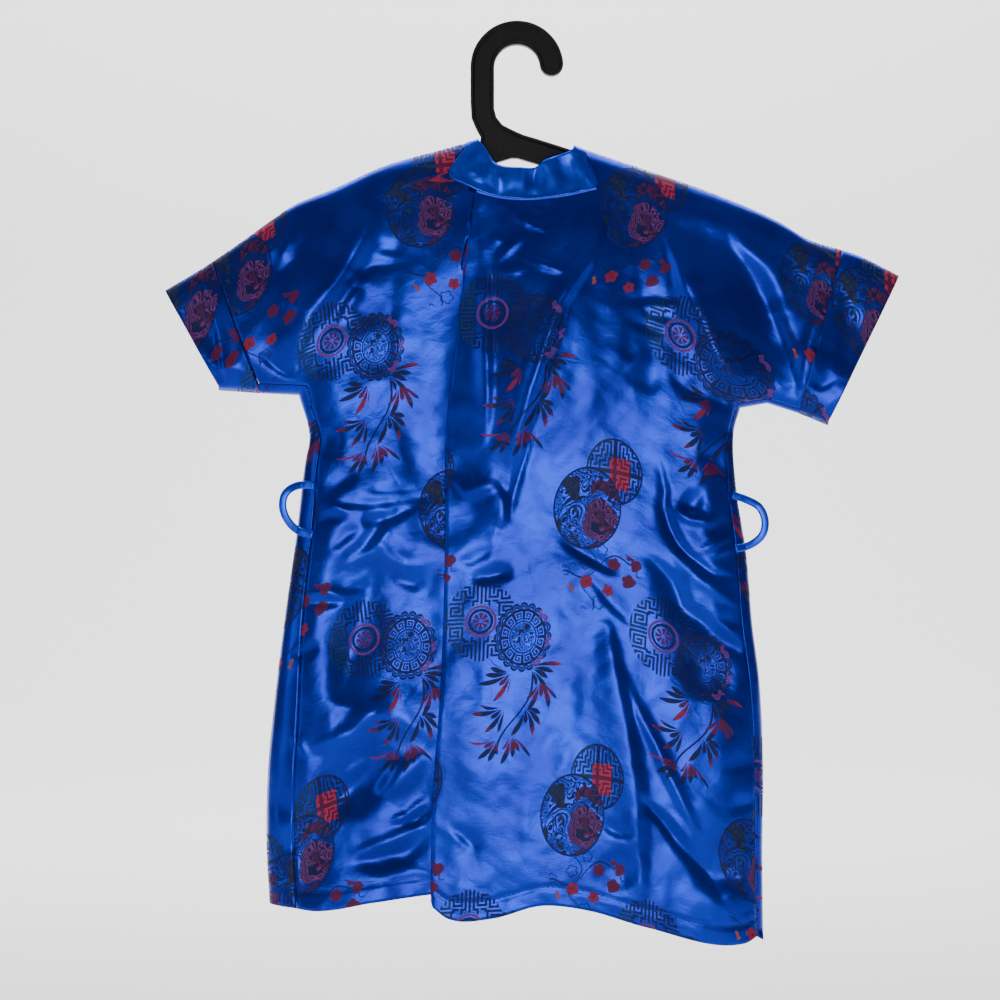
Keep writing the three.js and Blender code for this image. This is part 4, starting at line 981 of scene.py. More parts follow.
def make_band():
    """The band's grid: rows along its length, columns from its seam to its free edge."""
    across = np.array([0.0, 0.06, 0.16, 0.28, 0.4, 0.52, 0.64, 0.76, 0.86, 0.94, 1.0])

    def front(name, sign, drops):
        top = FRONT_EDGES[name][1]
        z = top - drops
        seam_x = front_edge_x(name, z)
        free_x = seam_x + sign * mix(6.5, BAND_WIDTH, ease(drops / 45))
        t = 0.05 + 0.95 * across
        x = mix(seam_x[:, None], free_x[:, None], t)
        height = z[:, None] + 0 * x
        points = front_points(name, x, height)
        clear = 7.4 * rounded(drops, 6)[:, None]
        points[..., 1] = np.maximum(points[..., 1], clear)
        return points

    drops = np.concatenate([[0.6, 1.4, 2.6, 4, 6, 9, 12, 16, 20],
                            np.arange(25, 517, 2.6)])
    keys = np.arange(len(BAND_BACK))
    fine = np.linspace(0, len(BAND_BACK) - 1, 150)
    seam_x, seam_z, seam_y, free_x, free_z, free_y = (
        reader(list(zip(keys, BAND_BACK[:, i])))(fine)[:, None] for i in range(6))
    middle = np.sin(np.pi * clamp(fine / fine[-1]) * 0.999)[:, None] ** 0.5
    t = mix(0.05 - 0.07 * middle, 1, across)
    free_y = free_y - 3.4 * middle
    x, z, y = mix(seam_x, free_x, t), mix(seam_z, free_z, t), mix(seam_y, free_y, t)
    y = y - 1.3 * (1 - ease(across / 0.3)) * np.sin(np.pi * fine / fine[-1])[:, None]
    level = ease((ridge(x) - z) / 12) * np.sin(np.pi * clamp(fine / fine[-1]))[:, None] ** 0.3
    y = y - level * (0.7 * np.sin(np.pi * t) + 1.0 * crease_height(BAND_FOLDS, x, z))
    round_neck = np.stack([x, y, z], axis=-1)
    grid = np.concatenate([front("left", 1, drops)[::-1], round_neck, front("right", -1, drops)])
    run = np.linalg.norm(np.diff(grid[:, 5], axis=0), axis=-1).cumsum()
    along = np.concatenate([[0], run])[:, None] + 0 * across
    return [grid], [np.stack([BAND_WIDTH * (across + 0 * along), along], axis=-1)]


band, band_area = cloth("neck_band", *make_band(), thick=BAND_CLOTH)
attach(band, "root")
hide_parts("collar")

# %% [markdown]
# ## Belt loops and sewing
# A belt loop is a narrow strap, folded and stitched, whose ends are sewn into the side seam. It
# is a flat rounded section carried along a bent path. The stitches are short rods of the same
# kind, one after another along each line of sewing, on the cloth's own surface.


# %% Carry a section along a path
def sweep(path, wide, thick, corners):
    """Points and faces of a flat rounded bar along a path of points. At each point the section
    is an ellipse drawn to the fourth power, wide across the path in the XZ plane, thick in Y."""
    path = np.asarray(path, float)
    along = np.gradient(path, axis=0)
    along /= np.linalg.norm(along, axis=1, keepdims=True)
    out = np.array([0.0, -1.0, 0.0]) + 0 * along
    aside = np.cross(along, out)
    aside /= np.linalg.norm(aside, axis=1, keepdims=True)
    out = np.cross(aside, along)
    turn = np.arange(corners) * 2 * np.pi / corners
    c, s = np.cos(turn), np.sin(turn)
    power = (np.abs(c) ** 4 + np.abs(s) ** 4) ** -0.25
    ring = (path[:, None] + aside[:, None] * (c * power)[:, None] * wide / 2
            + out[:, None] * (s * power)[:, None] * thick / 2)
    cell = np.arange(ring.shape[0] * corners).reshape(-1, corners)
    after = np.roll(cell, -1, axis=1)
    faces = np.stack([cell[:-1], after[:-1], after[1:], cell[1:]], -1).reshape(-1, 4).tolist()
    faces += [cell[0][::-1].tolist(), cell[-1].tolist()]
    return ring.reshape(-1, 3), faces


LOOPS = {"left": [(-141, -308), (-153, -308.5), (-161, -314), (-163, -323), (-160, -332),
                  (-153, -339.5), (-142, -343)],
         "right": [(150, -315), (159, -318), (168.5, -323.5), (172.5, -333), (170.5, -343),
                   (162, -350), (152, -352.5)]}
LOOP_LIFT = {"left": 0.45, "right": -0.55}
STRAP_WIDE, STRAP_THICK, STRAP_CORNERS = 5.4, 1.5, 12
STRAP_CLEAR = 1.2  # from the cloth's face to the strap's middle
loops = {}
for name, points in LOOPS.items():
    keys = np.arange(len(points))
    fine = np.linspace(0, len(points) - 1, 64)
    x, z = (reader(list(zip(keys, np.array(points)[:, i])))(fine) for i in (0, 1))
    under = np.max([back_out(x + dx, z) for dx in (-2.8, 0, 2.8)], axis=0)
    y = -np.maximum(under, 5) - CLOTH / 2 - STRAP_CLEAR - LOOP_LIFT[name]
    ring_points, ring_faces = sweep(np.stack([x, y, z], -1), STRAP_WIDE, STRAP_THICK,
                                    STRAP_CORNERS)
    run = np.concatenate([[0], np.hypot(np.diff(x), np.diff(z)).cumsum()])
    turn = np.arange(STRAP_CORNERS) * 2 * np.pi / STRAP_CORNERS
    places = np.stack([np.cos(turn) * STRAP_WIDE / 2 + 0 * run[:, None],
                       run[:, None] + 0 * turn], -1).reshape(-1, 2)
    piece = new_object(f"belt_loop_{name}_strap", ring_points, ring_faces, places)
    loops[name] = piece, run[-1]
    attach(piece, "root")
    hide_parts(f"belt_loop_{name}")
    print(f"belt loop {name}: strap {run[-1]:.0f} mm long")


# %% Lines of stitches
def stitches(name, line, length=2.6, gap=0.9, thread=0.5, lift=0.2):
    """One mesh of short rods whose ends dip into the cloth, evenly along a line of points: the
    line is read by its own length, so that every stitch is as long as the next."""
    line = np.asarray(line, float)
    run = np.concatenate([[0], np.linalg.norm(np.diff(line, axis=0), axis=1).cumsum()])
    starts = np.arange(0.6, run[-1] - length, length + gap)
    marks = starts[:, None] + np.array([0, 0.12, 0.5, 0.88, 1.0]) * length
    path = np.stack([np.interp(marks, run, line[:, i]) for i in range(3)], -1)
    sink = np.array([0.45, 0.1, 0.0, 0.1, 0.45]) * thread
    path[..., 1] += np.sign(line[0, 1]) * (lift - sink)
    points, faces, count = [], [], 0
    for rod in path:
        some, quads = sweep(rod, thread, thread, corners=5)
        points.append(some)
        faces += [[i + count for i in face] for face in quads]
        count += len(some)
    return new_object(name, np.concatenate(points), faces)


def on_back(x, z, behind=0.0):
    """Points just on the back's outer face."""
    return np.stack([x, -back_out(x, z) - CLOTH / 2 + behind, z], -1)


def on_front(name, x, z):
    """Points just on a front's outer face."""
    points = front_points(name, x, z)
    points[..., 1] += CLOTH / 2
    return points


STITCH_LEVEL = HEM_LEVEL + HEM_TURN
x = np.linspace(-150, -24, 160)
hem_line_left = on_back(x, hem_left(x) + HEM_TURN, tucked_in(x, STITCH_LEVEL))
hem_line_left = hem_line_left[x < fold_edge(STITCH_LEVEL) - 1]
x = np.linspace(-57, 164, 220)
hem_line_right = on_back(x, hem_right(x) + HEM_TURN)
sewing = {"hem_stitches_back_left": hem_line_left, "hem_stitches_back_right": hem_line_right}
for side in (LEFT, RIGHT):
    start = side_limit(side, np.array([-590.0]), lambda z: 10.0 + 0 * z)[0]
    x = np.linspace(start, FRONT_EDGES[side.name][2], 180)
    hem = hem_left(x) if side.sign < 0 else hem_right(x)
    run = (x - start) / (x[-1] - start)
    sewing[f"hem_stitches_front_{side.name}"] = on_front(
        side.name, x, mix(hem, FRONT_HEM, run) + HEM_TURN)
threads = []
for name, line in sewing.items():
    thing = stitches(name, line)
    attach(thing, "root")
    threads.append(thing)
print("rows of stitches:", len(threads))

# %% [markdown]
# ## The hanger
# The hanger is moulded in one piece: a thin web with a raised rim all round, like an I-beam. Its
# outline is the hook's arc, the stem and the two drooping arms. The rim is made by moving the
# outline in by the rim's width, and the web is the flat face inside it, on both sides.

# %% The hanger
RIM, RIM_THICK, WEB_THICK, BEVEL = 2.3, 8.4, 3.0, 0.5
HOOK_INSIDE, HOOK_BAR, HOOK_END, STEM_FOOT = 16.0, 16.5, 0.1, -51.0
ARM_MIDDLE, ARM_REACH, ARM_PEAK, ARM_SLOPE, ARM_BEND = -2.0, 160.0, -61.4, 0.29, 0.0005
ARM_HEIGHT, ARM_TIP_HEIGHT = 17.5, 11.0


def arm_top(x):
    """The top edge of the arms: a slope and a slight bend down from the middle."""
    off = np.abs(x - ARM_MIDDLE)
    return ARM_PEAK - ARM_SLOPE * off - ARM_BEND * off ** 2


def arm_low(x):
    """Their lower edge, which closes on the top one towards the tips."""
    off = np.abs(x - ARM_MIDDLE) / ARM_REACH
    return arm_top(x) - mix(ARM_HEIGHT, ARM_TIP_HEIGHT, off ** 2)


def arc(radius, start, end, count, x, z):
    """Points on an arc."""
    turn = np.linspace(start, end, count)
    return np.stack([x + radius * np.cos(turn), z + radius * np.sin(turn)], -1)


def hanger_outline():
    """The whole outline, clockwise: the hook outside, its tip, its inside, the stem, the right
    arm, its tip, the lower edge and the left arm."""
    outside, middle = HOOK_INSIDE + HOOK_BAR, HOOK_INSIDE + HOOK_BAR / 2
    tip = middle * np.cos(HOOK_END), middle * np.sin(HOOK_END) - HOOK_INSIDE
    reach = np.array([1, -1]) * ARM_REACH + ARM_MIDDLE
    half = (arm_top(reach) - arm_low(reach)) / 2
    centre = (arm_top(reach) + arm_low(reach)) / 2
    across = np.linspace(4, reach[0] - 4, 40)
    back_across = np.linspace(reach[0] - 4, reach[1] + 4, 80)
    left = np.linspace(reach[1] + 4, ARM_MIDDLE - 24, 36)
    return np.concatenate([
        arc(outside, np.pi, HOOK_END, 60, 0, -HOOK_INSIDE),
        arc(HOOK_BAR / 2, HOOK_END - 0.15, HOOK_END - np.pi + 0.15, 20, *tip),
        arc(HOOK_INSIDE, HOOK_END, np.pi, 40, 0, -HOOK_INSIDE),
        [(-HOOK_INSIDE, -30), (-HOOK_INSIDE, STEM_FOOT + 6), (-HOOK_INSIDE + 1.5, STEM_FOOT),
         (-HOOK_INSIDE + 6, STEM_FOOT - 5.5), (-HOOK_INSIDE + 14, STEM_FOOT - 9.5)],
        np.stack([across, arm_top(across)], -1),
        arc(half[0], np.pi / 2, -np.pi / 2, 14, reach[0], centre[0]),
        np.stack([back_across, arm_low(back_across)], -1),
        arc(half[1], -np.pi / 2, -3 * np.pi / 2, 14, reach[1], centre[1]),
        np.stack([left, arm_top(left)], -1),
        [(-25.2, -65), (-29, -58), (-outside + 0.6, STEM_FOOT), (-outside, -40)]])


def inset_loop(loop, deep):
    """The loop moved in by a width: each point goes along the mean normal of its two edges."""
    before, after = np.roll(loop, 1, axis=0), np.roll(loop, -1, axis=0)
    along = (after - before) / np.linalg.norm(after - before, axis=1, keepdims=True)
    return loop + np.stack([along[:, 1], -along[:, 0]], -1) * deep


def make_hanger():
    """Loops of the section, from the web on one side over the rim to the web on the other, with
    small bevels, joined by strips, and the web filled as one flat face on each side."""
    loop = hanger_outline()
    keep = np.linalg.norm(np.roll(loop, -1, axis=0) - loop, axis=1) > 0.15
    loop = loop[keep]
    half, web = RIM_THICK / 2, WEB_THICK / 2
    steps = [(RIM + 0.5, web), (RIM, web + 0.5), (RIM, half - 0.4), (RIM - 0.4, half),
             (BEVEL, half), (0.0, half - BEVEL)]
    levels = [(deep, -y) for deep, y in steps] + [(deep, y) for deep, y in steps[::-1]]
    rings = []
    for deep, y in levels:
        ring = inset_loop(loop, deep)
        rings.append(np.stack([ring[:, 0], np.full(len(ring), y), ring[:, 1]], -1))
    count = len(loop)
    cell = np.arange(len(rings) * count).reshape(-1, count)
    after = np.roll(cell, -1, axis=1)
    faces = np.stack([cell[:-1], after[:-1], after[1:], cell[1:]], -1).reshape(-1, 4).tolist()
    faces += [cell[0][::-1].tolist(), cell[-1].tolist()]
    return np.concatenate(rings), faces


hanger = new_object("hanger_moulding", *make_hanger(), smooth=False)
mesh = bpy.data.meshes["hanger_moulding"]
work = bmesh.new()
work.from_mesh(mesh)
bmesh.ops.triangulate(work, faces=[f for f in work.faces if len(f.verts) > 4])
bmesh.ops.recalc_face_normals(work, faces=work.faces)
work.to_mesh(mesh)
work.free()
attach(hanger, "root")
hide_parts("hanger")
print("hanger:", len(mesh.polygons), "faces")

# %% [markdown]
# ## The floor
# The robe hangs clear of a pale floor that curves up into a wall. A grid whose rows follow the
# curve is all it needs, and it reaches past every side of the picture.

# %% Floor and wall
turn = np.linspace(0, np.pi / 2, 24)
back_y, level, bend = 3.2, -0.74, 0.9  # in metres, as all the sizes of this cell
profile_y = np.concatenate([[-6.0, -1.0], back_y - bend + bend * np.sin(turn), [back_y]])
profile_z = np.concatenate([[level, level], level + bend * (1 - np.cos(turn)), [4.0]])
wide = np.linspace(-6.0, 6.0, 9)
floor_points = np.stack([wide + 0 * profile_y[:, None], profile_y[:, None] + 0 * wide,
                         profile_z[:, None] + 0 * wide], -1) * 1000
cell = grid_faces(*floor_points.shape[:2])[:, ::-1]
floor = new_object("floor", floor_points.reshape(-1, 3), cell.tolist())

# %% [markdown]
# ## Node arithmetic
# A material here is a formula over the cloth's own places. Written as nodes one by one it would
# be hard to read, so a small class wraps a socket, and its operators add the nodes.


# %% Sockets with operators
class Socket:
    """A value, vector or colour of a material, with the operators that make new ones."""

    def __init__(self, tree, socket):
        self.tree, self.socket = tree, socket

    def node(self, kind, settings=None, inputs=None, out=0):
        """Add any node: its settings first, then its inputs, by name or number."""
        node = self.tree.nodes.new(kind)
        for key, value in (settings or {}).items():
            setattr(node, key, value)
        for key, value in (inputs or {}).items():
            if isinstance(value, Socket):
                self.tree.links.new(value.socket, node.inputs[key])
            else:
                node.inputs[key].default_value = value
        return Socket(self.tree, node.outputs[out])

    def math(self, operation, *others):
        """One Math node, with this socket as its first input."""
        inputs = dict(enumerate((self, *others)))
        return self.node("ShaderNodeMath", {"operation": operation}, inputs)

    def __add__(self, other):
        return self.math("ADD", other)

    def __sub__(self, other):
        return self.math("SUBTRACT", other)

    def __mul__(self, other):
        return self.math("MULTIPLY", other)

    def __truediv__(self, other):
        return self.math("DIVIDE", other)

    def __lt__(self, other):
        return self.math("LESS_THAN", other)

    def __gt__(self, other):
        return self.math("GREATER_THAN", other)

    def __rsub__(self, other):
        return self.math("MULTIPLY_ADD", -1.0, other)

    __radd__, __rmul__ = __add__, __mul__

    def max(self, other):
        return self.math("MAXIMUM", other)

    def floor(self):
        return self.math("FLOOR")

    def abs(self):
        return self.math("ABSOLUTE")

    def fract(self):
        return self.math("FRACT")

    def power_of_two(self):
        """2 to the power of this value."""
        return self.node("ShaderNodeMath", {"operation": "POWER"}, {0: 2.0, 1: self})

    def sin(self):
        return self.math("SINE")

    def ramp(self, low, high, to_low=0.0, to_high=1.0):
        """A soft step: 3t2 - 2t3 between low and high."""
        return self.node("ShaderNodeMapRange", {"interpolation_type": "SMOOTHSTEP"},
                         {"Value": self, "From Min": low, "From Max": high,
                          "To Min": to_low, "To Max": to_high})

    def mix(self, colour, by):
        """This colour towards another one. In a Mix node the colours are inputs 6 and 7."""
        return self.node("ShaderNodeMix", {"data_type": "RGBA"}, {0: by, 6: self, 7: colour}, 2)

    def vector(self, operation, *others, out=0):
        """One Vector Math node, with this socket as its first input."""
        inputs = dict(enumerate((self, *others)))
        return self.node("ShaderNodeVectorMath", {"operation": operation}, inputs, out)

    def bump(self, strength, distance):
        """The normal of a surface raised by this height."""
        return self.node("ShaderNodeBump", None,
                         {"Strength": strength, "Distance": distance, "Height": self})

    def xyz(self):
        """The three parts of a vector."""
        node = self.tree.nodes.new("ShaderNodeSeparateXYZ")
        self.tree.links.new(self.socket, node.inputs[0])
        return [Socket(self.tree, some) for some in node.outputs]


def new_material(name):
    """A material, its tree, and its Principled surface."""
    material = bpy.data.materials.new(name)
    material.use_nodes = True
    tree = material.node_tree
    return material, tree, tree.nodes["Principled BSDF"]


def plain(tree, colour):
    """A node that holds one colour, to mix others on to."""
    node = tree.nodes.new("ShaderNodeRGB")
    node.outputs[0].default_value = colour
    return Socket(tree, node.outputs[0])


def feed(shader, inputs):
    """Link each of these sockets to the input of the surface that it is named for."""
    for name, value in inputs.items():
        value.tree.links.new(value.socket, shader.inputs[name])


def rgb(red, green, blue):
    """A colour from the 0 to 255 numbers of a screen, as light."""
    c = np.array([red, green, blue]) / 255
    light = np.where(c <= 0.04045, c / 12.92, ((c + 0.055) / 1.055) ** 2.4)
    return tuple(light.round(4).tolist()) + (1.0,)


# %% The cloth's own place
def cloth_start(tree):
    """The cloth's own place in millimetres, from its UV map, as a vector socket."""
    node = tree.nodes.new("ShaderNodeUVMap")
    node.uv_map = "cloth"
    return Socket(tree, node.outputs[0]).vector("MULTIPLY", (100.0, 100.0, 0.0))

# %% [markdown]
# ## The woven motifs
# A jacquard loom lifts single threads, so its motifs are built from small steps. The motifs here
# are the traditional ones of such cloth: a roundel of frets round a flower, a scalloped rosette,
# bamboo, a fret roundel with a square seal, a roundel of waves, and plum blossom. Each one is a
# formula in its own coordinates, in millimetres from its middle, wrapped by the repeat, so that
# one formula draws every copy of it. It gives masks of threads with their colours, each of which
# covers those before it.

# %% Charts of frets
KEY_QUARTER = [  # a quarter of the fret roundel, from the top row down; the left column is its axis
    "#.#...............", "#.#.#.............", "#.#.#.#######.....", "#.#.#.#.....#.....",
    "#.#.#.#.###.#.##..", "#.#.#.#.#.#.#.#...", "#.#.#...#.#.#.#.#.", "#.#.#####.#...#.#.",
    "#.#.......#####.##", "#.###.###.........", "#...#...##########", "###.#....#.......#",
    ".........#.#####.#", ".........#.#...#.#", ".........#.###.#.#", ".........#.....#.#",
    ".........#######.#", ".................#", ".........#########", ".................."]
MEANDER = ["########", "#......#", "#.####.#", "#.#..#.#", "#.#.##.#", "#.#....#", "#.######",
           "#......."]
SEAL = ["##################", "#................#", "#.#####.####.###.#", "#.#...#.#..#.#.#.#",
        "#.#.#.#.##.#.#.#.#", "#.#.#.#..#.###.#.#", "#.#.#.##.#.....#.#", "#.#.#..#.#######.#",
        "#.#.##.#.........#", "#.#..#.####.####.#", "#.##.#....#.#..#.#", "#..#.####.#.##.#.#",
        "##.#....#.#..#.#.#", "#..####.#.##.#.#.#", "#.......#....#...#", "##################"]


def row_number(row):
    """A row of a chart as a number from 0 to 1, whose binary places are its columns."""
    return sum(2.0 ** (-i - 1) for i, cell in enumerate(row) if cell == "#")


def chart_rows(tree, row, *charts):
    """One colour ramp that holds up to three charts: at a row's place, its three colours are
    that row's numbers. Rows are counted from the foot of each chart."""
    count = max(len(chart) for chart in charts)
    node = tree.nodes.new("ShaderNodeValToRGB")
    ramp = node.color_ramp
    ramp.interpolation = "CONSTANT"
    while len(ramp.elements) < count:
        ramp.elements.new(0.5)
    for i in range(count):
        ramp.elements[i].position = i / count
    for i in range(count):
        numbers = [row_number(chart[::-1][i]) if i < len(chart) else 0.0 for chart in charts]
        ramp.elements[i].color = (numbers + [0.0, 0.0])[:3] + [1.0]
    tree.links.new(((row + 0.5) / count).socket, node.inputs[0])
    parts = tree.nodes.new("ShaderNodeSeparateColor")
    tree.links.new(node.outputs[0], parts.inputs[0])
    return [Socket(tree, some) for some in parts.outputs]


def chart_cell(number, column):
    """The cell in a column: the row's number times 2 to the column has it as its first place."""
    return (number * column.power_of_two()).fract() > 0.4999


# %% Coordinates of a motif
NAVY, OLIVE, CORAL = rgb(5, 10, 74), rgb(24, 46, 74), rgb(172, 38, 74)
MAROON, MAUVE, ORANGE = rgb(88, 14, 66), rgb(112, 44, 112), rgb(150, 74, 50)
ROSE = rgb(132, 26, 62)
GROUND = None  # satin, where one motif covers another
FRET = 1.4  # millimetres to a cell of the fret roundel's chart
HALF = (REPEAT[0] / 2, REPEAT[1] / 2)


def local(place, middle):
    """The place from a motif's middle, wrapped by the repeat, and its two parts."""
    moved = place.vector("SUBTRACT", (*middle, 0.0)).vector(
        "WRAP", (*HALF, 1.0), (-HALF[0], -HALF[1], -1.0))
    x, y, _ = moved.xyz()
    return moved, x, y


def oval(moved, wide, high):
    """How far out a place is in an oval: 0 in the middle, 1 on its edge, and its angle."""
    scaled = moved.vector("MULTIPLY", (1 / wide, 1 / high, 0.0))
    x, y, _ = scaled.xyz()
    return scaled.vector("LENGTH", out=1), y.math("ARCTAN2", x)


def band_at(value, middle, half):
    """1 where the value is within half of the middle."""
    return value.math("COMPARE", middle, half)


def noise(vector, scale, detail=0.0, distortion=0.0, roughness=0.5):
    """Soft noise from 0 to 1, with its scale in features per millimetre."""
    return vector.node("ShaderNodeTexNoise", {"noise_dimensions": "2D"}, {
        "Vector": vector, "Scale": scale, "Detail": detail, "Distortion": distortion,
        "Roughness": roughness})


# %% The fret roundel
def fret_roundel(place):
    """A quarter chart mirrored both ways, round a flower in two rings, whose eight petals lie
    where cos(8 angle) is more than -0.4."""
    moved, x, y = local(place, (0.0, 0.0))
    column, row = ((side.abs() * (1 / FRET) + 0.5).floor() for side in (x, y))
    quarter = chart_rows(place.tree, row, KEY_QUARTER)[0]
    out, _ = oval(moved, 25.0, 27.8)
    radius, turn = oval(moved, 1.0, 1.0)
    outside = radius > 12.0
    frets = chart_cell(quarter, column) * (out < 1.0) * outside
    ring, thick = band_at(radius, 10.3, 0.75), band_at(radius, 7.8, 0.85)
    petals = ((turn * 8.0).math("COSINE") > -0.4) * band_at(radius, 3.5, 2.2)
    left = x < -12.5
    return [(frets, NAVY), (frets * left, OLIVE), (thick, NAVY), (ring, MAUVE),
            (petals, MAROON)]


# %% The scalloped rosette
def rosette(place):
    """Twenty double scallops, whose edge is a power of |cos(10 angle)|, round a ring of twelve
    meanders, and curls in the middle that are the level lines of a noise."""
    moved, x, _ = local(place, (30.0, -12.0))
    out, turn = oval(moved, 20.5, 24.2)
    edge = out - (turn * 10.0).math("COSINE").abs().math("POWER", 0.6) * 0.12 - 0.87
    lines = band_at(edge, -0.022, 0.036).max(band_at(edge, -0.105, 0.026))
    rings = band_at(out, 0.80, 0.018).max(band_at(out, 0.455, 0.02))
    along = (turn * (12 / (2 * np.pi))).fract() * 8.0
    across = (out - 0.48) * (8 / 0.30)
    rows = chart_rows(place.tree, across.floor(), MEANDER)[0]
    keys = chart_cell(rows, along.floor()) * band_at(out, 0.63, 0.15)
    level = noise(moved, 0.16, 1.0, 1.6) * 6.0
    curls = band_at(level.fract(), 0.5, 0.24) * (out < 0.41)
    blush = (lines * (x > 5.0)) * band_at(noise(moved, 0.05), 0.62, 0.12)
    return [(edge < 0.0, GROUND), (lines * (out > 0.81), NAVY),
            (rings.max(keys).max(curls), NAVY), (blush, MAUVE)]


# %% Bamboo
FANS = [  # the foot of a fan of leaves, its aim in degrees, spread, leaves' length and step
    ((10.0, 34.0), -14.0, 0.8, 25.0, 0.36), ((17.0, 25.0), -70.0, 0.8, 23.0, 0.38),
    ((-4.0, 32.0), -140.0, 1.0, 25.0, 0.36), ((7.0, 7.0), -52.0, 0.95, 23.0, 0.38),
    ((-8.0, 8.0), -128.0, 0.8, 24.0, 0.38), ((-3.0, -12.0), -66.0, 0.75, 22.0, 0.36),
    ((-12.0, -14.0), -116.0, 0.75, 21.0, 0.38)]


def bamboo(place):
    """Fans of leaves on a bent stem. In a fan the angle is cut into even steps, and a leaf is
    where the distance from its step's middle is less than 12.5 t t (1 - t) less a little, t being
    0 at the foot and 1 at the leaf's own tip."""
    moved, x, y = local(place, (26.0, -68.0))
    leaves = None
    for foot, aim, spread, reach, step in FANS:
        from_foot = moved.vector("SUBTRACT", (*foot, 0.0))
        here = from_foot.node("ShaderNodeVectorRotate", {"rotation_type": "Z_AXIS"},
                              {"Vector": from_foot, "Angle": -np.radians(aim)})
        radius, turn = oval(here, 1.0, 1.0)
        turn = turn + radius * 0.016
        steps = turn * (1 / step) + 0.5
        tip = (steps.floor() * 2.4 + foot[0]).sin() * 0.26 + 0.74
        t = radius / (tip * reach)
        off = (steps.fract() - 0.5).abs() * radius * step
        leaf = (off < (t * t * (1.0 - t) * 12.5 - 0.15)) * band_at(turn, 0.0, spread)
        leaves = leaf if leaves is None else leaves.max(leaf)
    stem = band_at(x - y * 0.42 - (y * 0.11).sin() * 4.0, 0.0, 0.7) * band_at(y, 3.0, 27.0)
    shade = noise(moved, 0.045)
    return [(leaves.max(stem), NAVY), (leaves * (shade > 0.5), MAROON),
            (leaves * (shade > 0.64), ROSE)]


# %% The roundel with a seal
def seal_roundel(place):
    """Frets mirrored both ways in an oval, with a block of solid coral right of its middle."""
    moved, x, y = local(place, (89.0, -108.5))
    out, _ = oval(moved, 19.8, 23.2)
    rows = chart_rows(place.tree, (y.abs() * (1 / 1.5)).floor(), SEAL)[0]
    cells = chart_cell(rows, (x.abs() * (1 / 1.25)).floor())
    inside = out < 1.0
    block = band_at(x, 3.5, 7.0) * band_at(y, -1.0, 11.0)
    frets = cells.max(band_at(out, 0.97, 0.03)) * inside
    return [(frets, OLIVE), (frets * (x > -3.0), NAVY), (block, CORAL), (block * cells, MAROON)]


# %% The roundel of waves
def wave_roundel(place):
    """The level lines of a warped noise, as waves and clouds, with patches of other threads."""
    moved, x, y = local(place, (71.4, -135.8))
    out, _ = oval(moved, 23.8, 28.6)
    inside = out < 1.0
    level = noise(moved, 0.065, 0.5, 2.2) * 7.0
    waves = band_at(level.fract(), 0.5, 0.27) * inside
    patch = noise(moved.vector("ADD", (40.0, 7.0, 0.0)), 0.07, 1.0, 0.6)
    upper, _ = oval(moved.vector("SUBTRACT", (9.0, -9.0, 0.0)), 12.0, 15.0)
    fill = (patch > 0.56) * inside
    blush = (upper + patch * 1.2 < 1.45) * inside
    rim = band_at(out, 0.98, 0.022)
    return [(inside, GROUND), (blush, MAUVE), (fill * (x > 2.0), MAROON),
            (fill * (x < -6.0), OLIVE), (waves.max(rim), NAVY)]


# %% Plum blossom
def plum(place):
    """Blossoms at the points of a cell noise: five petals, where the radius is less than
    the cell's size + 1.3 |cos(2.5 angle)|. Two twigs are waves: y = 5 sin(0.17 x) + 0.35 x + 5,
    and x = 5 sin(0.21 y) - 7."""
    moved, x, y = local(place, (82.0, -180.5))
    out, _ = oval(moved, 36.0, 29.0)
    ragged = out + noise(moved, 0.05) * 0.7 < 1.2
    cells = moved.node("ShaderNodeTexVoronoi", {"voronoi_dimensions": "2D"}, {
        "Vector": moved, "Scale": 1 / 14.5, "Randomness": 0.85}, out="Position")
    tint = Socket(place.tree, cells.socket.node.outputs["Color"])
    parts = tint.xyz()
    here = moved.vector("SUBTRACT", cells)
    radius, turn = oval(here, 1.0, 1.0)
    size = parts[1] * 1.5 + 3.0
    reach = (turn * 2.5 + parts[2] * 3.0).math("COSINE").abs() * 1.3 + size - 0.5
    solid = (radius < reach) * (parts[0] > 0.42) * ragged
    outline = band_at(radius - reach, -0.3, 0.32) * (parts[0] < 0.42) * ragged
    heart = (radius < 0.9) * solid
    lean = (x * 0.17).sin() * 5.0 + x * 0.35
    twigs = band_at(y - lean, 5.0, 0.5).max(band_at(x - (y * 0.21).sin() * 5.0, -7.0, 0.4)) * ragged
    return [(twigs, NAVY), (outline, NAVY), (solid, ROSE), (solid * (parts[2] > 0.55), MAROON),
            (solid * (parts[2] < 0.2), ORANGE), (heart, MAROON)]


# %% [markdown]
# ## The brocade
# Satin is a weave of long smooth threads, so it mirrors almost like metal, but softly, and goes
# very dark where it turns away. Its motifs are woven of dull threads. So one mask of threads
# changes the colour, the roughness and how metallic the cloth is, all together.

# %% The brocade material
RIB = 0.7  # millimetres from one rib of the weave to the next
brocade, tree, shader = new_material("brocade")
place = cloth_start(tree)
cloudy = noise(place, 0.02, 2.0)
colour = plain(tree, rgb(7, 32, 156)).mix(rgb(7, 44, 182), cloudy.ramp(0.35, 0.65))
threads_here = None
satin_ground = colour
for motif in (plum, seal_roundel, wave_roundel, bamboo, fret_roundel, rosette):
    for mask, tint in motif(place):
        if tint is GROUND:
            colour = colour.mix(satin_ground, mask)
            threads_here = threads_here * (1 - mask)
        else:
            colour = colour.mix(tint, mask)
            threads_here = mask if threads_here is None else threads_here.max(mask)

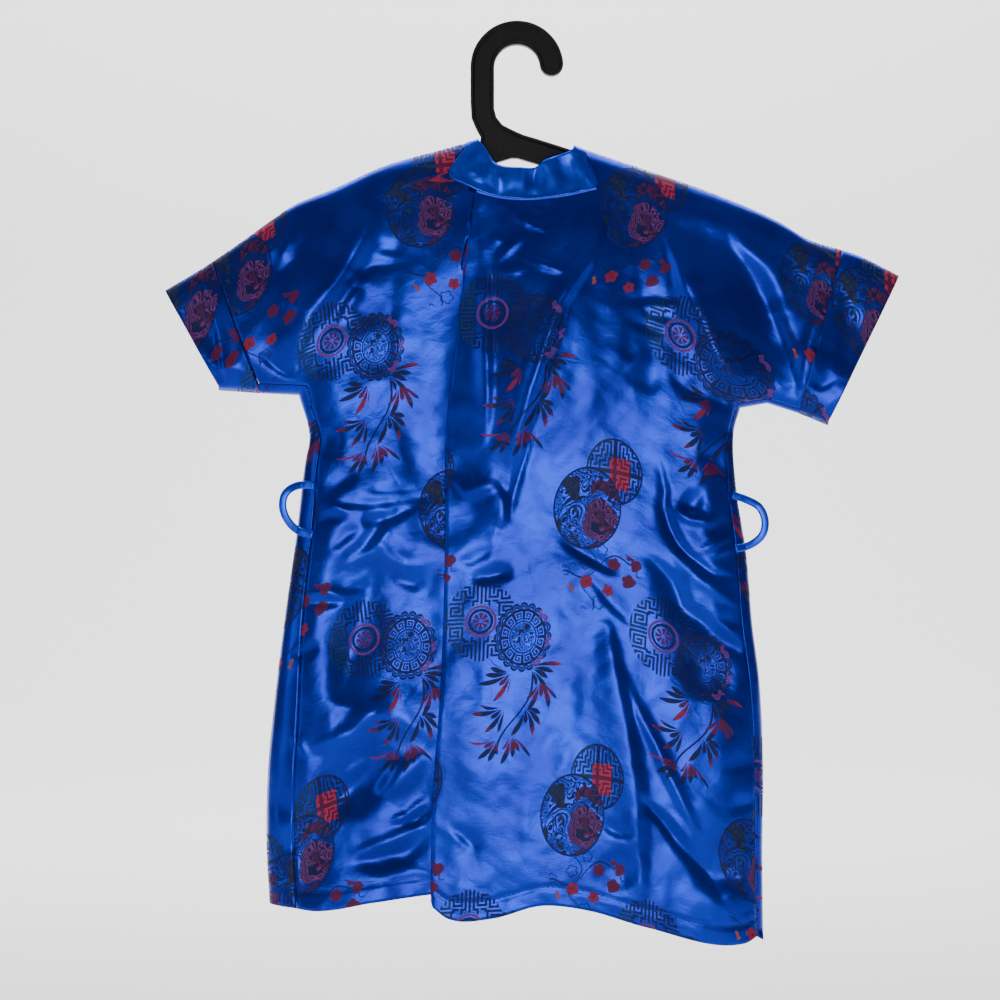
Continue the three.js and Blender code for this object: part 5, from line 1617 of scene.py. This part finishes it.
wide_crumple = (noise(place, 0.035, 2.0, 0.5) - 0.5).abs()
fine_crumple = (noise(place.vector("MULTIPLY", (0.8, 1.3, 0.0)), 0.09, 2.0, 0.3) - 0.5).abs()
slub = noise(place.vector("MULTIPLY", (0.22, 1.7, 0.0)), 1.0, 3.0)
u, v, _ = place.xyz()
ribs = (u * (2 * np.pi / RIB)).sin() * 0.006
height = wide_crumple * 0.5 + fine_crumple * 0.3 + slub * 0.07 + ribs + threads_here * 0.04
feed(shader, {"Normal": height.bump(0.6, 0.001), "Base Color": colour,
              "Metallic": threads_here * -0.62 + 0.74,
              "Roughness": threads_here * 0.27 + slub * 0.06 + 0.23,
              "Coat Weight": threads_here * -0.1 + 0.1})
shader.inputs["Coat Roughness"].default_value = 0.38
shader.inputs["Specular IOR Level"].default_value = 0.25
print("brocade:", len(tree.nodes), "nodes")

# %% The band's plain satin
SEAM_SHADE = 0.8  # how far the painted shade along the band's seam reaches in, in millimetres
STRAP_ENDS = 300.0  # the belt loops' cloth places end well before this, and get no painted seam shade
satin, tree, shader = new_material("band_satin")
place = cloth_start(tree)
u, v, _ = place.xyz()
slub = noise(place.vector("MULTIPLY", (3.0, 0.3, 0.0)), 1.0, 1.0)
crumple_and_shade = noise(place, 0.10, 2.0)
# the same noise as the bump: lighter on the raised crumples and darker in their hollows, as painted
# shade
colour = plain(tree, rgb(20, 58, 208)).mix(rgb(24, 74, 228), crumple_and_shade.ramp(0.3, 0.7))
stitch_row = band_at(u, 2.0, 0.22) * band_at((v * 0.28).fract(), 0.5, 0.36)
height = crumple_and_shade * 0.3 + slub * 0.015 - stitch_row * 0.2
normal = height.bump(0.6, 0.001)
# navy stitches, and a strip of painted shade along the seam edge, where the band meets the robe
stitches_and_seam_shade = (stitch_row * 0.7).max((u < SEAM_SHADE) * (v > STRAP_ENDS) * 0.8)
feed(shader, {"Normal": normal, "Base Color": colour.mix(NAVY, stitches_and_seam_shade),
              "Roughness": slub * 0.08 + 0.28})
shader.inputs["Metallic"].default_value = 0.74
shader.inputs["Coat Weight"].default_value = 0.06
shader.inputs["Coat Roughness"].default_value = 0.35

# %% [markdown]
# ## Thread, plastic and floor
# The sewing thread is finely twisted, with painted highlight as lighter stripes along its plies.
# The hanger is moulded plastic: near black, with a slight orange-peel surface and dull scuffs
# where hangers rub together on a rail.

# %% Thread, plastic and floor
def object_start(tree):
    """The place on the object in millimetres, as a vector socket."""
    node = tree.nodes.new("ShaderNodeTexCoord")
    return Socket(tree, node.outputs["Object"]).vector("MULTIPLY", (1000.0, 1000.0, 1000.0))


thread, tree, shader = new_material("navy_thread")
x, y, z = object_start(tree).xyz()
# one navy thread, with lighter stripes along the turns of its plies as painted highlight
twist_highlight = ((x + z) * 14.0).sin()
colour = plain(tree, rgb(10, 14, 84))
feed(shader, {"Base Color": colour.mix(rgb(24, 36, 130), twist_highlight * 0.5 + 0.5)})
shader.inputs["Roughness"].default_value = 0.6

plastic, tree, shader = new_material("black_plastic")
spot = object_start(tree)
scuff = noise(spot.vector("MULTIPLY", (1.0, 0.0, 3.0)), 0.12, 3.0)
peel = spot.node("ShaderNodeTexNoise", {"noise_dimensions": "3D"},
                 {"Vector": spot, "Scale": 0.9, "Detail": 2.0})
colour = plain(tree, rgb(9, 9, 11)).mix(rgb(20, 20, 24), scuff.ramp(0.5, 0.72))
feed(shader, {"Base Color": colour, "Roughness": scuff * 0.3 + 0.34,
              "Normal": peel.bump(0.35, 0.0002)})
shader.inputs["Specular IOR Level"].default_value = 0.3

ground, tree, shader = new_material("pale_floor")
shader.inputs["Base Color"].default_value = rgb(236, 237, 239)
shader.inputs["Roughness"].default_value = 0.9


# %% Dress the pieces
def dress(things, material):
    """Give the same material to each of the things."""
    for thing in things:
        thing.data.materials.clear()
        thing.data.materials.append(material)


dress([back] + [fronts[s][0] for s in fronts] + [sleeve_ends[s][0] for s in sleeve_ends], brocade)
dress([band] + [loops[s][0] for s in loops], satin)
dress(threads, thread)
dress([hanger], plastic)
dress([floor], ground)
